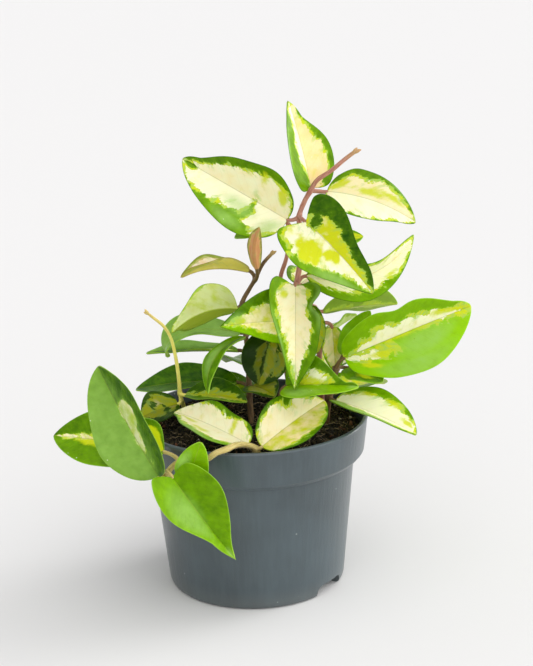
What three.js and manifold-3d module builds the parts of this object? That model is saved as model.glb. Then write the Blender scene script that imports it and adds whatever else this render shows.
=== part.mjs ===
// Wax plant with variegated leaves in a round plastic nursery pot.
//
// Millimetres, +Z up. The origin is the centre of the pot's base, on the surface that it stands on,
// and the front of the plant faces -Y. Every leaf is a thin curved blade of its own, and every stem
// carries its leaf stalks, which end just short of the leaves' bases.

import * as THREE from 'three';
import Module from 'manifold-3d';

const wasm = await Module();
wasm.setup();

// ---- driving dimensions ----

const GAP = 0.3; // clearance between pieces that touch

const POT = {
  height: 89,
  sides: 32,
  lipRadius: 60, // outside, at the top
  bandRadius: 58.2, // outside, where the rim band turns in
  bandHeight: 21.5,
  shoulderRadius: 52.6, // outside, just under the rim band
  footRadius: 46.2, // outside, at the base
  wall: 1.6,
  discRadius: 26, // flat middle of the base
  channelRise: 5, // how far the drainage channel is lifted off the surface
  channelRadius: 41.5,
};
const DRAIN = { count: 8, radius: 4, ring: 34 };
const NOTCH = { headings: [-35, 145], width: 21, height: 6 }; // degrees from +X
const SOIL = { level: 81, crown: 1.6, lump: 0.8, rings: 5, sides: 24 };
const BLADE = {
  thickness: 1.1,
  narrow: 0.8, // the most that the thickness may be of the width there, near base and tip
  rows: 8,
  strips: 2,
  stub: 1, // half the width at the base
  point: 0.4, // half the width at the tip
};
const STEM = { sides: 6, steps: 1.5 }; // steps: for each stretch between two points of its route
const STALK = { radius: 1.1, end: 0.9, sides: 5, steps: 3 };

const COLOURS = {
  pot: 0x3d464c,
  soil: 0x1e1712,
  redStem: 0x8a5148,
  tanStem: 0xa98a5a,
  green: 0x4c8f1f, // leaves of one green
  cream: 0xd9dc9a, // leaves with a cream middle
  young: 0xb06a4a, // leaves that have just opened
};

// ---- stems: a route through a few points, rooted in the soil, and a radius at root and tip ----

const STEMS = {
  tall: {
    colour: COLOURS.redStem,
    radius: [2, 1],
    route: [[30, 13, 71], [27, 8, 104], [25, 2, 133], [25, -1, 157], [27, -1, 169], [28, -1, 180],
      [27, -1, 192], [30, -1, 200], [33, -1, 205], [36, -2, 210], [43, -4, 215], [50, -6, 221],
      [55, -8, 225]],
  },
  thin: {
    colour: COLOURS.redStem,
    radius: [1.5, 1],
    route: [[24, 22, 71], [18, 15, 113], [16, 10, 141], [17, 9, 159], [20, 9, 168], [22, 10, 178],
      [22, 11, 185]],
  },
  budding: {
    colour: COLOURS.redStem,
    radius: [1.7, 0.9],
    route: [[0, 1, 71], [-1, 6, 100], [-1, 7, 117], [-2, 6, 132], [-3, 3, 147], [1, 2, 155],
      [4, 1, 160], [8, 0, 168], [13, -2, 174]],
  },
  bare: {
    colour: COLOURS.tanStem,
    radius: [1.3, 0.7],
    route: [[-34, 27, 71], [-36, 12, 91], [-37, 6, 99], [-37, 3, 107], [-38, 0, 121], [-40, -2, 132],
      [-43, -3, 138], [-48, -4, 143], [-51, -5, 146]],
  },
  trailing: {
    colour: COLOURS.tanStem,
    radius: [1.6, 1.4],
    route: [[4, -36, 71], [2, -43, 85], [-3, -48, 89.5], [-8, -55, 92], [-12, -60, 92], [-17, -62, 91],
      [-21, -61, 88], [-27, -58, 86], [-35, -54, 84], [-39, -53, 81], [-42, -52, 77]],
  },
  right: {
    colour: COLOURS.redStem,
    radius: [2, 1.6],
    route: [[38, 6, 71], [39, 2, 89], [40, -2, 98], [42, -4, 106], [44, -5, 114]],
  },
  middle: {
    colour: COLOURS.redStem,
    radius: [1.8, 1.2],
    route: [[38, 18, 71], [36, 12, 108], [36, 10, 122], [34, 8, 133], [34, 6, 143]],
  },
  front: {
    colour: COLOURS.redStem,
    radius: [1.6, 1.3],
    route: [[22, -12, 71], [19, -17, 91], [15, -21, 102]],
  },
};

// ---- leaves ----
//
// name: stem and place; tone: its colour; at: index of the stem's route point that the stalk leaves;
// base and tip: the two ends of the midrib; face: heading and height of the way its upper side
// looks, in degrees; width: across the flat blade. The rest shapes it, with these usual values:
// widest: how far along the widest place is; taper: 1 for a plain pointed end, more for a drawn-out
// one; arch: how far the midrib turns downwards from base to tip; late: more than 1 keeps that turn
// to the tip; bow: sideways swing of the midrib; fold: how far each half is lifted from flat;
// curl: how much more it lifts towards its margin; lobe: how far each half's base lobe reaches back;
// wave: height of the waves in the margin, and phase: where along the margin they start; swells:
// where a half is wider, or narrower if negative: side, share of the length, reach and amount. Sides
// and halves are counted along the side direction, -1 or the first against it.

const USUAL = {
  tone: 'green', widest: 0.42, taper: 0.8, arch: 20, late: 1, bow: 0, fold: [12, 12], curl: 10,
  lobe: [2, 2], wave: 0.8, phase: 0, swells: [],
};

const LEAVES = [
  { name: 'tall_top', tone: 'cream', at: 8, base: [33, 2, 206], tip: [23, 12, 248], face: [-66, 5],
    width: 31, widest: 0.34, taper: 0.95, arch: 14, fold: [34, 6], lobe: [4, 4],
    swells: [[-1, 0.65, 0.25, -0.1], [1, 0.75, 0.2, -0.22]] },
  { name: 'tall_left', tone: 'cream', at: 6, base: [21, -2, 191], tip: [-30, 4, 222],
    face: [-95, 22], width: 41, taper: 0.75, arch: 14, fold: [2, 46],
    swells: [[-1, 0.65, 0.25, -0.1], [1, 0.27, 0.18, 0.22], [1, 0.85, 0.15, -0.18]] },
  { name: 'tall_right', tone: 'cream', at: 8, base: [41, -1, 204], tip: [84, -10, 189],
    face: [-85, 38], width: 27, bow: -2.5, swells: [[-1, 0.2, 0.12, 0.14], [1, 0.8, 0.15, -0.12]] },
  { name: 'tall_front', tone: 'cream', at: 6, base: [30, -10, 191], tip: [60, -46, 163],
    face: [-80, 30], width: 39, widest: 0.27, arch: 26, lobe: [4.5, 6.5], fold: [42, 2], phase: 0.5,
    swells: [[-1, 0.6, 0.22, -0.24], [1, 0.42, 0.2, 0.15]] },
  { name: 'tall_shelf', tone: 'cream', at: 3, base: [30, 1, 161], tip: [85, 8, 179],
    face: [-90, 35], width: 29, arch: -6, bow: 11, fold: [74, 8], swells: [[-1, 0.6, 0.2, -0.3]] },
  { name: 'tall_hanging', tone: 'cream', at: 3, base: [24, -8, 158], tip: [22, -37, 113],
    face: [-90, 15], width: 32, widest: 0.22, taper: 0.95, arch: 32, fold: [20, 20], curl: 20,
    lobe: [0, 4], wave: 1.5, swells: [[-1, 0.25, 0.09, -0.4], [-1, 0.72, 0.2, 0.16],
      [1, 0.55, 0.3, -0.15]] },
  { name: 'tall_shaded', at: 4, base: [33, 8, 175], tip: [60, 17, 177], face: [-90, 50], width: 16,
    arch: 10 },
  { name: 'tall_low', tone: 'cream', at: 2, base: [21, -4, 139], tip: [-14, -28, 144],
    face: [-100, 35], width: 34, widest: 0.35, taper: 1.1, arch: 16, fold: [12, 42], phase: 0.3,
    swells: [[-1, 0.6, 0.25, -0.2]] },
  { name: 'tall_rear', tone: 'cream', at: 3, base: [27, 6, 155], tip: [44, 44, 147], face: [60, 70],
    width: 28, arch: 40 },
  { name: 'thin_top', at: 6, base: [18, 13, 188], tip: [-6, 18, 178], face: [-90, 55], width: 14 },
  { name: 'thin_inner', at: 2, base: [11, 3, 132], tip: [4, -8, 107], face: [-90, 0], width: 26,
    widest: 0.5, taper: 0.7, phase: 0.2 },
  { name: 'thin_rear_high', tone: 'cream', at: 2, base: [14, 16, 139], tip: [16, 54, 131],
    face: [90, 60], width: 27, arch: 30, wave: 1.2 },
  { name: 'thin_rear', at: 1, base: [18, 21, 112], tip: [25, 62, 107], face: [90, 65], width: 30,
    arch: 25, fold: [16, 16] },
  { name: 'budding_young', tone: 'young', at: 6, base: [1, 0, 165], tip: [-33, -10, 165],
    face: [-95, 86], width: 15.5, widest: 0.45, taper: 0.85, arch: 44, late: 1.5, fold: [47, 22],
    swells: [[-1, 0.6, 0.25, -0.15], [1, 0.45, 0.3, 0.2]] },
  { name: 'budding_folded', tone: 'young', at: 6, base: [5, -7, 167.5], tip: [7, -20, 191.5],
    face: [85, 5], width: 10, widest: 0.4, taper: 0.9, arch: 5, bow: 2, fold: [38, 38], wave: 0 },
  { name: 'budding_domed', tone: 'cream', at: 4, base: [-5.6, 3, 145], tip: [-39, -10, 136.7],
    face: [95, 25], width: 34, widest: 0.45, arch: 30, bow: -3.5, fold: [8, 17],
    swells: [[-1, 0.78, 0.24, -0.3], [-1, 0.45, 0.25, -0.16], [-1, 0.14, 0.12, 0.06],
      [1, 0.3, 0.2, -0.35], [1, 0.9, 0.15, -0.25]] },
  { name: 'budding_grey', at: 3, base: [-5, 21, 126.5], tip: [-41.8, 14.5, 117], face: [-62, 66],
    width: 22, widest: 0.5, taper: 0.75, arch: 155, late: 3.3, swells: [[-1, 0.62, 0.24, -0.45]] },
  { name: 'budding_flat', at: 2, base: [-6, 21, 117], tip: [-55, 24, 116], face: [-90, 85],
    width: 16, widest: 0.5, arch: 12 },
  { name: 'budding_droop', at: 3, base: [-2.2, -2.2, 130.8], tip: [-21, -26, 109], face: [-125, 35],
    width: 10, widest: 0.45, arch: 55, bow: 5 },
  { name: 'budding_rear', at: 2, base: [4, 13, 109], tip: [-14, 54, 101], face: [110, 70],
    width: 27, arch: 30 },
  { name: 'budding_big', at: 1, base: [-7, 16, 101], tip: [-62, 30, 94], face: [-85, 76], width: 29,
    widest: 0.5, taper: 0.75, arch: 16 },
  { name: 'budding_olive', tone: 'cream', at: 1, base: [1, -1, 104], tip: [12, -16, 103],
    face: [-90, 70], width: 20 },
  { name: 'budding_rear_low', at: 1, base: [-2, 14, 94], tip: [-32, 54, 91], face: [115, 75],
    width: 26, arch: 20 },
  { name: 'bare_fold', at: 2, base: [-34, 3, 99], tip: [-2, -11, 99], face: [-90, 66], width: 20,
    widest: 0.5, fold: [25, 25] },
  { name: 'bare_low', tone: 'cream', at: 2, base: [-38, 5, 93.5], tip: [-57, -2, 89],
    face: [-100, 62], width: 24, widest: 0.5 },
  { name: 'trailing_upright', at: 10, base: [-45, -57, 78], tip: [-72, -48, 132], face: [-112, 12],
    width: 40, widest: 0.42, taper: 0.7, arch: 14, fold: [10, 36], lobe: [0, 0],
    swells: [[-1, 0.6, 0.3, -0.05], [1, 0.74, 0.2, 0.28]] },
  { name: 'trailing_hanging', at: 10, base: [-38, -65.5, 80.5], tip: [-9, -81, 44],
    face: [-104, 14], width: 33, widest: 0.3, taper: 1.2, lobe: [5, 8], fold: [2, 48],
    swells: [[-1, 0.4, 0.2, 0.12], [-1, 0.86, 0.1, -0.06], [1, 0.66, 0.24, -0.26]] },
  { name: 'trailing_left', at: 8, base: [-43, -45, 86], tip: [-99, -28, 90], face: [-90, 45],
    width: 33, widest: 0.48, taper: 0.82, arch: 18, swells: [[1, 0.12, 0.12, 0.28]] },
  { name: 'trailing_over', at: 8, base: [-31, -63.5, 77], tip: [-24, -62.5, 97], face: [-95, 10],
    width: 17, widest: 0.36, taper: 0.7, arch: 10, lobe: [0, 0] },
  { name: 'trailing_soil_left', tone: 'cream', at: 1, base: [-2, -44, 88], tip: [-39, -12, 95],
    face: [-105, 58], width: 30, fold: [34, 4],
    swells: [[-1, 0.25, 0.2, 0.3], [-1, 0.85, 0.12, -0.12], [1, 0.35, 0.2, -0.22]] },
  { name: 'trailing_soil_right', tone: 'cream', at: 1, base: [5, -45, 87], tip: [37, -22, 102],
    face: [-100, 35], width: 31, widest: 0.46, taper: 0.75, fold: [6, 22] },
  { name: 'right_big', at: 4, base: [48, -8, 120], tip: [111, -14, 147], face: [-85, 28], width: 42,
    widest: 0.46, taper: 0.65, arch: 10, fold: [48, 0], swells: [[-1, 0.5, 0.1, -0.2],
      [-1, 0.88, 0.12, -0.14], [1, 0.65, 0.2, 0.11], [1, 0.15, 0.1, -0.06]] },
  { name: 'right_low', tone: 'cream', at: 2, base: [43, -8, 97], tip: [81, -40, 89],
    face: [-80, 50], width: 30, taper: 0.75, fold: [4, 42] },
  { name: 'right_dark', at: 4, base: [50, 0, 112], tip: [67, -13, 108], face: [-80, 60],
    width: 22 },
  { name: 'right_back', at: 4, base: [48, 3, 118], tip: [63, 15, 138], face: [-110, 20],
    width: 14 },
  { name: 'right_rear', tone: 'cream', at: 2, base: [43, 5, 97], tip: [72, 38, 91], face: [50, 70],
    width: 27 },
  { name: 'front_fold', at: 2, base: [18, -24, 111], tip: [53, -41, 115], face: [-90, 42],
    width: 31, widest: 0.34, taper: 0.75, fold: [30, 36], lobe: [0, 0],
    swells: [[-1, 0.78, 0.22, -0.4]] },
  { name: 'middle_rib', tone: 'cream', at: 4, base: [31, 1, 145], tip: [34, -3, 121],
    face: [-90, 10], width: 14 },
  { name: 'middle_yellow', tone: 'cream', at: 3, base: [43, 13, 130], tip: [44, 6, 108],
    face: [-90, 10], width: 13 },
  { name: 'middle_under', at: 4, base: [38, 9, 140], tip: [78, 24, 139], face: [90, 42], width: 26,
    widest: 0.5 },
  { name: 'middle_pale', at: 2, base: [39, 17, 124], tip: [57, 30, 132], face: [90, 60],
    width: 15 },
  { name: 'middle_rear', tone: 'cream', at: 1, base: [41, 17, 106], tip: [60, 56, 99],
    face: [70, 70], width: 27, arch: 25 },
  { name: 'middle_rear_low', at: 1, base: [33, 20, 102], tip: [24, 66, 94], face: [95, 75],
    width: 27, arch: 15 },
];

// ---- helpers ----

const point = ([x, y, z]) => new THREE.Vector3(x, y, z);
const onCircle = (radius, angle, height) => new THREE.Vector3(
  radius * Math.cos(angle), radius * Math.sin(angle), height);
const turns = (count) => Array.from({ length: count }, (_, i) => (2 * Math.PI * i) / count);
const rad = THREE.MathUtils.degToRad;

/** A closed solid from its corner points and its triangles, which point outwards. */
function solid(points, triangles) {
  return new wasm.Manifold(new wasm.Mesh({
    numProp: 3,
    vertProperties: new Float32Array(points.flatMap((p) => p.toArray())),
    triVerts: new Uint32Array(triangles.flat()),
  }));
}

/** Rings of equally many points, skinned one to the next and closed by a fan at each end. */
function loft(rings) {
  const sides = rings[0].length;
  const points = rings.flat();
  const triangles = [];
  for (let i = 0; i + 1 < rings.length; i += 1) {
    for (let j = 0; j < sides; j += 1) {
      const a = i * sides + j;
      const b = i * sides + ((j + 1) % sides);
      triangles.push([a, b, b + sides], [a, b + sides, a + sides]);
    }
  }
  const last = (rings.length - 1) * sides;
  for (const [start, forward] of [[0, false], [last, true]]) {
    const middle = new THREE.Vector3();
    rings[start / sides].forEach((p) => middle.addScaledVector(p, 1 / sides));
    const centre = points.push(middle) - 1;
    for (let j = 0; j < sides; j += 1) {
      const a = start + j;
      const b = start + ((j + 1) % sides);
      triangles.push(forward ? [centre, a, b] : [centre, b, a]);
    }
  }
  return solid(points, triangles);
}

/** A profile of [radius, height] pairs turned round the Z axis. */
const turned = (profile, sides, lift = () => 0) => loft(profile.map(([radius, height]) => (
  turns(sides).map((angle) => onCircle(radius, angle, height + lift(radius, angle, height))))));

/** A round rod along a curve, with its radius given along the length. */
function rod(curve, steps, sides, radiusAt) {
  const frames = curve.computeFrenetFrames(steps, false);
  const rings = [];
  for (let i = 0; i <= steps; i += 1) {
    const centre = curve.getPointAt(i / steps);
    rings.push(turns(sides).map((angle) => centre.clone()
      .addScaledVector(frames.normals[i], radiusAt(i / steps) * Math.cos(angle))
      .addScaledVector(frames.binormals[i], radiusAt(i / steps) * Math.sin(angle))));
  }
  return loft(rings);
}

// ---- pot ----

/** Outer and inner profile of the pot, from the middle of its underside round to its floor. */
function makePot() {
  const { height, wall, lipRadius, bandRadius, bandHeight, shoulderRadius, footRadius } = POT;
  const { discRadius, channelRise, channelRadius, sides } = POT;
  const shoulder = height - bandHeight;
  const floor = channelRise + wall;
  const profile = [
    [discRadius * 0.5, 0],
    [discRadius, 0],
    [discRadius + 1.5, channelRise],
    [channelRadius - 1, channelRise],
    [channelRadius, 0],
    [footRadius - 2.2, 0],
    [footRadius - 0.6, 0.8],
    [footRadius, 2.6],
    [shoulderRadius, shoulder],
    [bandRadius - 2.4, shoulder + 1],
    [bandRadius - 0.4, shoulder + 3.4],
    [lipRadius - 0.3, height - 2],
    [lipRadius, height - 0.8],
    [lipRadius - 0.6, height],
    [lipRadius - 2, height],
    [lipRadius - 2.4, height - 1.2],
    [bandRadius - 0.8 - wall, shoulder + 4.6],
    [bandRadius - 3 - wall, shoulder + 2.2],
    [shoulderRadius - wall, shoulder + 0.6],
    [footRadius - wall + 0.4, floor + 1.6],
    [footRadius - wall - 1, floor],
    [discRadius + 0.5, floor],
    [discRadius - 1, wall],
    [discRadius * 0.5, wall],
  ];
  let pot = turned(profile, sides);
  for (const angle of turns(DRAIN.count)) {
    const at = onCircle(DRAIN.ring, angle, 0);
    const hole = loft([-1, floor + 1].map((z) => turns(10).map(
      (turn) => onCircle(DRAIN.radius, turn, z).add(at))));
    pot = pot.subtract(hole);
  }
  for (const heading of NOTCH.headings) pot = pot.subtract(makeNotch(rad(heading)));
  return pot;
}

/** An arched gap through the foot ring, open to the drainage channel. */
function makeNotch(heading) {
  const half = NOTCH.width / 2;
  const outline = [[-half, -1], [half, -1], [half, 1.5], [half - 3, NOTCH.height - 1],
    [half - 6, NOTCH.height], [-half + 6, NOTCH.height], [-half + 3, NOTCH.height - 1], [-half, 1.5]];
  const out = onCircle(1, heading, 0);
  const across = onCircle(1, heading + Math.PI / 2, 0);
  return loft([POT.channelRadius - 3, POT.footRadius + 4].map((reach) => outline.map(
    ([side, z]) => out.clone().multiplyScalar(reach).addScaledVector(across, side).setZ(z))));
}

// ---- soil ----

const soilTop = (radius, angle) => (
  SOIL.crown * (1 - (radius / POT.lipRadius) ** 2)
  + SOIL.lump * Math.sin(radius / 7 + 2 * angle) * Math.cos(radius / 5 - 3 * angle));

/** The soil fills the pot to its level, with a lumpy top and a plain hole for every stem. */
function makeSoil() {
  const { wall, bandHeight, height, channelRise, discRadius } = POT;
  const shoulder = height - bandHeight;
  const floor = channelRise + wall + GAP;
  const edge = POT.bandRadius - wall - GAP;
  const profile = [
    [discRadius - 3, wall + GAP],
    [discRadius - 1 - GAP, wall + GAP],
    [discRadius + 0.5 - GAP, floor],
    [POT.footRadius - wall - 1 - GAP, floor],
    [POT.footRadius - wall, floor + 1.6],
    [POT.shoulderRadius - wall - GAP, shoulder + 0.6],
    [POT.bandRadius - 3 - wall - GAP, shoulder + 2.6],
    [edge - 0.8, shoulder + 4.8],
  ];
  for (let i = 0; i < SOIL.rings; i += 1) {
    const inwards = i / (SOIL.rings - 1);
    profile.push([edge - 0.4 + (4 - edge) * inwards, SOIL.level]);
  }
  let soil = turned(profile, SOIL.sides, (radius, angle, z) => (
    z === SOIL.level ? soilTop(radius, angle) : 0));
  for (const { route, radius } of Object.values(STEMS)) {
    const curve = new THREE.CatmullRomCurve3(route.slice(0, 3).map(point), false, 'centripetal');
    const below = curve.getTangentAt(0).multiplyScalar(-2);
    const line = new THREE.CatmullRomCurve3([curve.getPointAt(0).add(below), ...curve.points]);
    soil = soil.subtract(rod(line, 12, 10, () => radius[0] + 2 * GAP));
  }
  return soil;
}

// ---- stems ----

/** The leaf's midrib: its base, and its direction on leaving the base. */
function stalkEnd(leaf) {
  const { rows } = midrib(leaf);
  const out = rows[1].place.clone().sub(rows[0].place).normalize();
  return { out, end: rows[0].place.clone().addScaledVector(out, -GAP) };
}

/** A stem along its route, joined with the stalks of its leaves. */
function makeStem(name) {
  const { route, radius } = STEMS[name];
  const curve = new THREE.CatmullRomCurve3(route.map(point), false, 'centripetal');
  const steps = Math.round(STEM.steps * (route.length - 1));
  let stem = rod(curve, steps, STEM.sides, (t) => THREE.MathUtils.lerp(radius[0], radius[1], t));
  for (const leaf of LEAVES.filter((each) => each.name.startsWith(`${name}_`))) {
    const start = point(route[leaf.at]);
    const { out, end } = stalkEnd(leaf);
    const bend = end.clone().addScaledVector(out, -0.5 * end.distanceTo(start));
    const stalk = new THREE.QuadraticBezierCurve3(start, bend, end);
    stem = stem.add(rod(stalk, STALK.steps, STALK.sides, (t) => (
      THREE.MathUtils.lerp(STALK.radius, STALK.end, t))));
  }
  return stem;
}

// ---- leaves ----

/**
 * The midrib as rows from base to tip. Its slope turns downwards by `arch` along the way, and the
 * whole line is then turned and scaled so that it ends on the tip.
 */
function midrib(entry) {
  const leaf = { ...USUAL, ...entry };
  const base = point(leaf.base);
  const chord = point(leaf.tip).sub(base);
  const length = chord.length();
  chord.normalize();
  const [heading, rise] = leaf.face.map(rad);
  const up = new THREE.Vector3(
    Math.cos(rise) * Math.cos(heading), Math.cos(rise) * Math.sin(heading), Math.sin(rise));
  up.addScaledVector(chord, -up.dot(chord)).normalize();
  const side = new THREE.Vector3().crossVectors(chord, up);

  const count = BLADE.rows;
  const share = Array.from({ length: count + 1 }, (_, i) => (1 - Math.cos((Math.PI * i) / count)) / 2);
  const along = [0];
  const lift = [0];
  for (let i = 0; i < count; i += 1) {
    const slope = -rad(leaf.arch) * ((share[i] + share[i + 1]) / 2) ** leaf.late;
    along.push(along[i] + Math.cos(slope) * (share[i + 1] - share[i]));
    lift.push(lift[i] + Math.sin(slope) * (share[i + 1] - share[i]));
  }
  const turn = -Math.atan2(lift[count], along[count]);
  const scale = length / Math.hypot(lift[count], along[count]);
  const rows = share.map((u, i) => {
    const slope = turn - rad(leaf.arch) * u ** leaf.late;
    const forward = scale * (along[i] * Math.cos(turn) - lift[i] * Math.sin(turn));
    const raised = scale * (along[i] * Math.sin(turn) + lift[i] * Math.cos(turn));
    return {
      u,
      place: base.clone().addScaledVector(chord, forward).addScaledVector(up, raised)
        .addScaledVector(side, leaf.bow * 4 * u * (1 - u)),
      tangent: chord.clone().multiplyScalar(Math.cos(slope)).addScaledVector(up, Math.sin(slope)),
      normal: up.clone().multiplyScalar(Math.cos(slope)).addScaledVector(chord, -Math.sin(slope)),
    };
  });
  return { leaf, side, rows };
}

/**
 * How wide one half is at a share of the length: a rising and a falling power, 1 at the widest place,
 * with the swells of that half as bell curves on it.
 */
function outline(u, { widest, taper, swells }, half) {
  const rising = (taper * widest) / (1 - widest);
  const plain = (u / widest) ** rising * ((1 - u) / (1 - widest)) ** taper;
  return swells.filter(([side]) => side === half).reduce((share, [, at, reach, swell]) => (
    share + swell * Math.min(1, 2 * plain) * Math.exp(-(((u - at) / reach) ** 2))), plain);
}

/** The blade's middle surface as a grid of points: rows along it, columns across it. */
function surface(entry) {
  const { leaf, side, rows } = midrib(entry);
  const columns = [];
  for (let j = -BLADE.strips; j <= BLADE.strips; j += 1) columns.push(j / BLADE.strips);
  return rows.map(({ u, place, tangent, normal }) => {
    const narrowest = THREE.MathUtils.lerp(BLADE.stub, BLADE.point, u);
    return columns.map((v) => {
      const share = outline(u, leaf, Math.sign(v));
      const half = Math.max((leaf.width / 2) * share, narrowest);
      const out = Math.abs(v);
      const fold = rad(leaf.fold[v < 0 ? 0 : 1]);
      const curl = rad(leaf.curl);
      const across = Math.sign(v) * (Math.sin(fold + curl * out) - Math.sin(fold)) / curl;
      const raised = (Math.cos(fold) - Math.cos(fold + curl * out)) / curl;
      const ripple = leaf.wave * Math.sin(2 * Math.PI * (1.5 * u + leaf.phase + 0.3 * Math.sign(v)));
      const margin = out * out * Math.sin(Math.PI * u);
      const lobe = leaf.lobe[v < 0 ? 0 : 1] * Math.exp(-((u / 0.18) ** 2));
      const back = lobe * out * out * Math.min(1, 1.5 * share);
      return place.clone()
        .addScaledVector(side, half * across)
        .addScaledVector(normal, half * raised + ripple * margin)
        .addScaledVector(tangent, -back);
    });
  });
}

/** A blade about its middle surface, of even thickness except where it is narrow. */
function makeLeaf(entry) {
  const grid = surface(entry);
  const rows = grid.length;
  const columns = grid[0].length;
  const within = (k, count) => THREE.MathUtils.clamp(k, 0, count - 1);
  const at = (i, j) => grid[within(i, rows)][within(j, columns)];
  const upper = [];
  const lower = [];
  for (let i = 0; i < rows; i += 1) {
    const width = at(i, 0).distanceTo(at(i, columns));
    const thickness = Math.min(BLADE.thickness, BLADE.narrow * width);
    for (let j = 0; j < columns; j += 1) {
      const across = at(i, j + 1).clone().sub(at(i, j - 1));
      const along = at(i + 1, j).clone().sub(at(i - 1, j));
      const offset = across.cross(along).setLength(thickness / 2);
      upper.push(at(i, j).clone().add(offset));
      lower.push(at(i, j).clone().sub(offset));
    }
  }
  const under = rows * columns;
  const triangles = [];
  const wall = (a, b) => triangles.push([a, b, b + under], [a, b + under, a + under]);
  for (let i = 0; i + 1 < rows; i += 1) {
    for (let j = 0; j + 1 < columns; j += 1) {
      const a = i * columns + j;
      const d = a + columns + 1;
      triangles.push([a, a + 1, d], [a, d, a + columns]);
      triangles.push([under + a, under + d, under + a + 1], [under + a, under + a + columns, under + d]);
    }
    wall(i * columns, (i + 1) * columns);
    wall((i + 2) * columns - 1, (i + 1) * columns - 1);
  }
  for (let j = 0; j + 1 < columns; j += 1) {
    wall(j + 1, j);
    wall((rows - 1) * columns + j, (rows - 1) * columns + j + 1);
  }
  return solid([...upper, ...lower], triangles);
}

// ---- the plant ----

const plant = new THREE.Group();

/** Adds a named piece, with the colour and finish of its material. */
function place(name, piece, color, roughness) {
  const { vertProperties, triVerts } = piece.getMesh();
  const geometry = new THREE.BufferGeometry();
  geometry.setAttribute('position', new THREE.BufferAttribute(Float32Array.from(vertProperties), 3));
  geometry.setIndex(new THREE.BufferAttribute(Uint32Array.from(triVerts), 1));
  geometry.computeVertexNormals();
  const mesh = new THREE.Mesh(
    geometry, new THREE.MeshStandardMaterial({ color, roughness, metalness: 0 }));
  mesh.name = name;
  plant.add(mesh);
}

place('pot', makePot(), COLOURS.pot, 0.45);
place('soil', makeSoil(), COLOURS.soil, 0.95);
for (const [name, { colour }] of Object.entries(STEMS)) {
  place(`stem_${name}`, makeStem(name), colour, 0.6);
}
for (const leaf of LEAVES) {
  place(`leaf_${leaf.name}`, makeLeaf(leaf), COLOURS[leaf.tone ?? USUAL.tone], 0.35);
}

export default plant;
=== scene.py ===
import math

import bpy
import numpy as np
from mathutils import Matrix


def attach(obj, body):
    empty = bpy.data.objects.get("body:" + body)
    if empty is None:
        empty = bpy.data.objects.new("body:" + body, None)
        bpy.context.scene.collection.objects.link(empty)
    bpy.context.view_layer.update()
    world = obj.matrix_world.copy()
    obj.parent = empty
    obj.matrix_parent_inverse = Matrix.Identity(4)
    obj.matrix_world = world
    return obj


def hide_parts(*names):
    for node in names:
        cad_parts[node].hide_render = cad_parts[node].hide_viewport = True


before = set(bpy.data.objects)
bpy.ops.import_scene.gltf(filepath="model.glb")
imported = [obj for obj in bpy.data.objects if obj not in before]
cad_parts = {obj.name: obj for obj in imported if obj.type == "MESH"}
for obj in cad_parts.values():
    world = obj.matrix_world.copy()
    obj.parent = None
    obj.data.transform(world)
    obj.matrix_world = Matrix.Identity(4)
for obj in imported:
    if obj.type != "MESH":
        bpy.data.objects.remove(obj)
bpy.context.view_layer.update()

# A variegated wax plant in a dark grey nursery pot. Shapes are worked out in millimetres, +Z up, the
# origin at the centre of the pot's base and the front towards -Y, and go into the meshes in metres.

MM = 0.001
TURN = 2 * math.pi

# ---- stems ----
#
# The bark and the slot of each vine, its radius at root and tip, and its route. Where it still grows,
# tip holds the bud's length, how far its leaves part, and the length of vine that is tan below it.

STEMS = {
    "tall": dict(bark="red", slot="red_stem", radius=(2, 1), tip=(4.2, 0.22, 8), route=[
        (30, 13, 71), (27, 8, 104), (25, 2, 133), (25, -1, 157), (27, -1, 169), (28, -1, 180),
        (27, -1, 192), (30, -1, 200), (33, -1, 205), (36, -2, 210), (43, -4, 215), (50, -6, 221),
        (55, -8, 225)]),
    "thin": dict(bark="red", slot="red_stem", radius=(1.5, 1), tip=(2.6, 0.2, 6), route=[
        (24, 22, 71), (18, 15, 113), (16, 10, 141), (17, 9, 159), (20, 9, 168), (22, 10, 178),
        (22, 11, 185)]),
    "budding": dict(bark="brown", slot="red_stem", radius=(1.7, 0.9), tip=(3.6, 0.2, 6), route=[
        (0, 1, 71), (-1, 6, 100), (-1, 7, 117), (-2, 6, 132), (-3, 3, 147), (1, 2, 155),
        (4, 1, 160), (8, 0, 168), (13, -2, 174)]),
    "bare": dict(bark="straw", slot="tan_stem", radius=(1.3, 0.7), tip=(3.2, 0.25, 20), route=[
        (-34, 27, 71), (-36, 12, 91), (-37, 6, 99), (-37, 3, 107), (-38, 0, 121), (-40, -2, 132),
        (-43, -3, 138), (-48, -4, 143), (-51, -5, 146)]),
    "trailing": dict(bark="tan", slot="tan_stem", radius=(1.6, 1.4), route=[
        (4, -36, 71), (2, -43, 85), (-3, -48, 89.5), (-8, -55, 92), (-12, -60, 92), (-17, -62, 91),
        (-21, -61, 88), (-27, -58, 86), (-35, -54, 84), (-39, -53, 81), (-42, -52, 77)]),
    "right": dict(bark="brown", slot="red_stem", radius=(2, 1.6), route=[
        (38, 6, 71), (39, 2, 89), (40, -2, 98), (42, -4, 106), (44, -5, 114)]),
    "middle": dict(bark="red", slot="red_stem", radius=(1.8, 1.2), route=[
        (38, 18, 71), (36, 12, 108), (36, 10, 122), (34, 8, 133), (34, 6, 143)]),
    "front": dict(bark="brown", slot="red_stem", radius=(1.6, 1.3), route=[
        (22, -12, 71), (19, -17, 91), (15, -21, 102)]),
}

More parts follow.
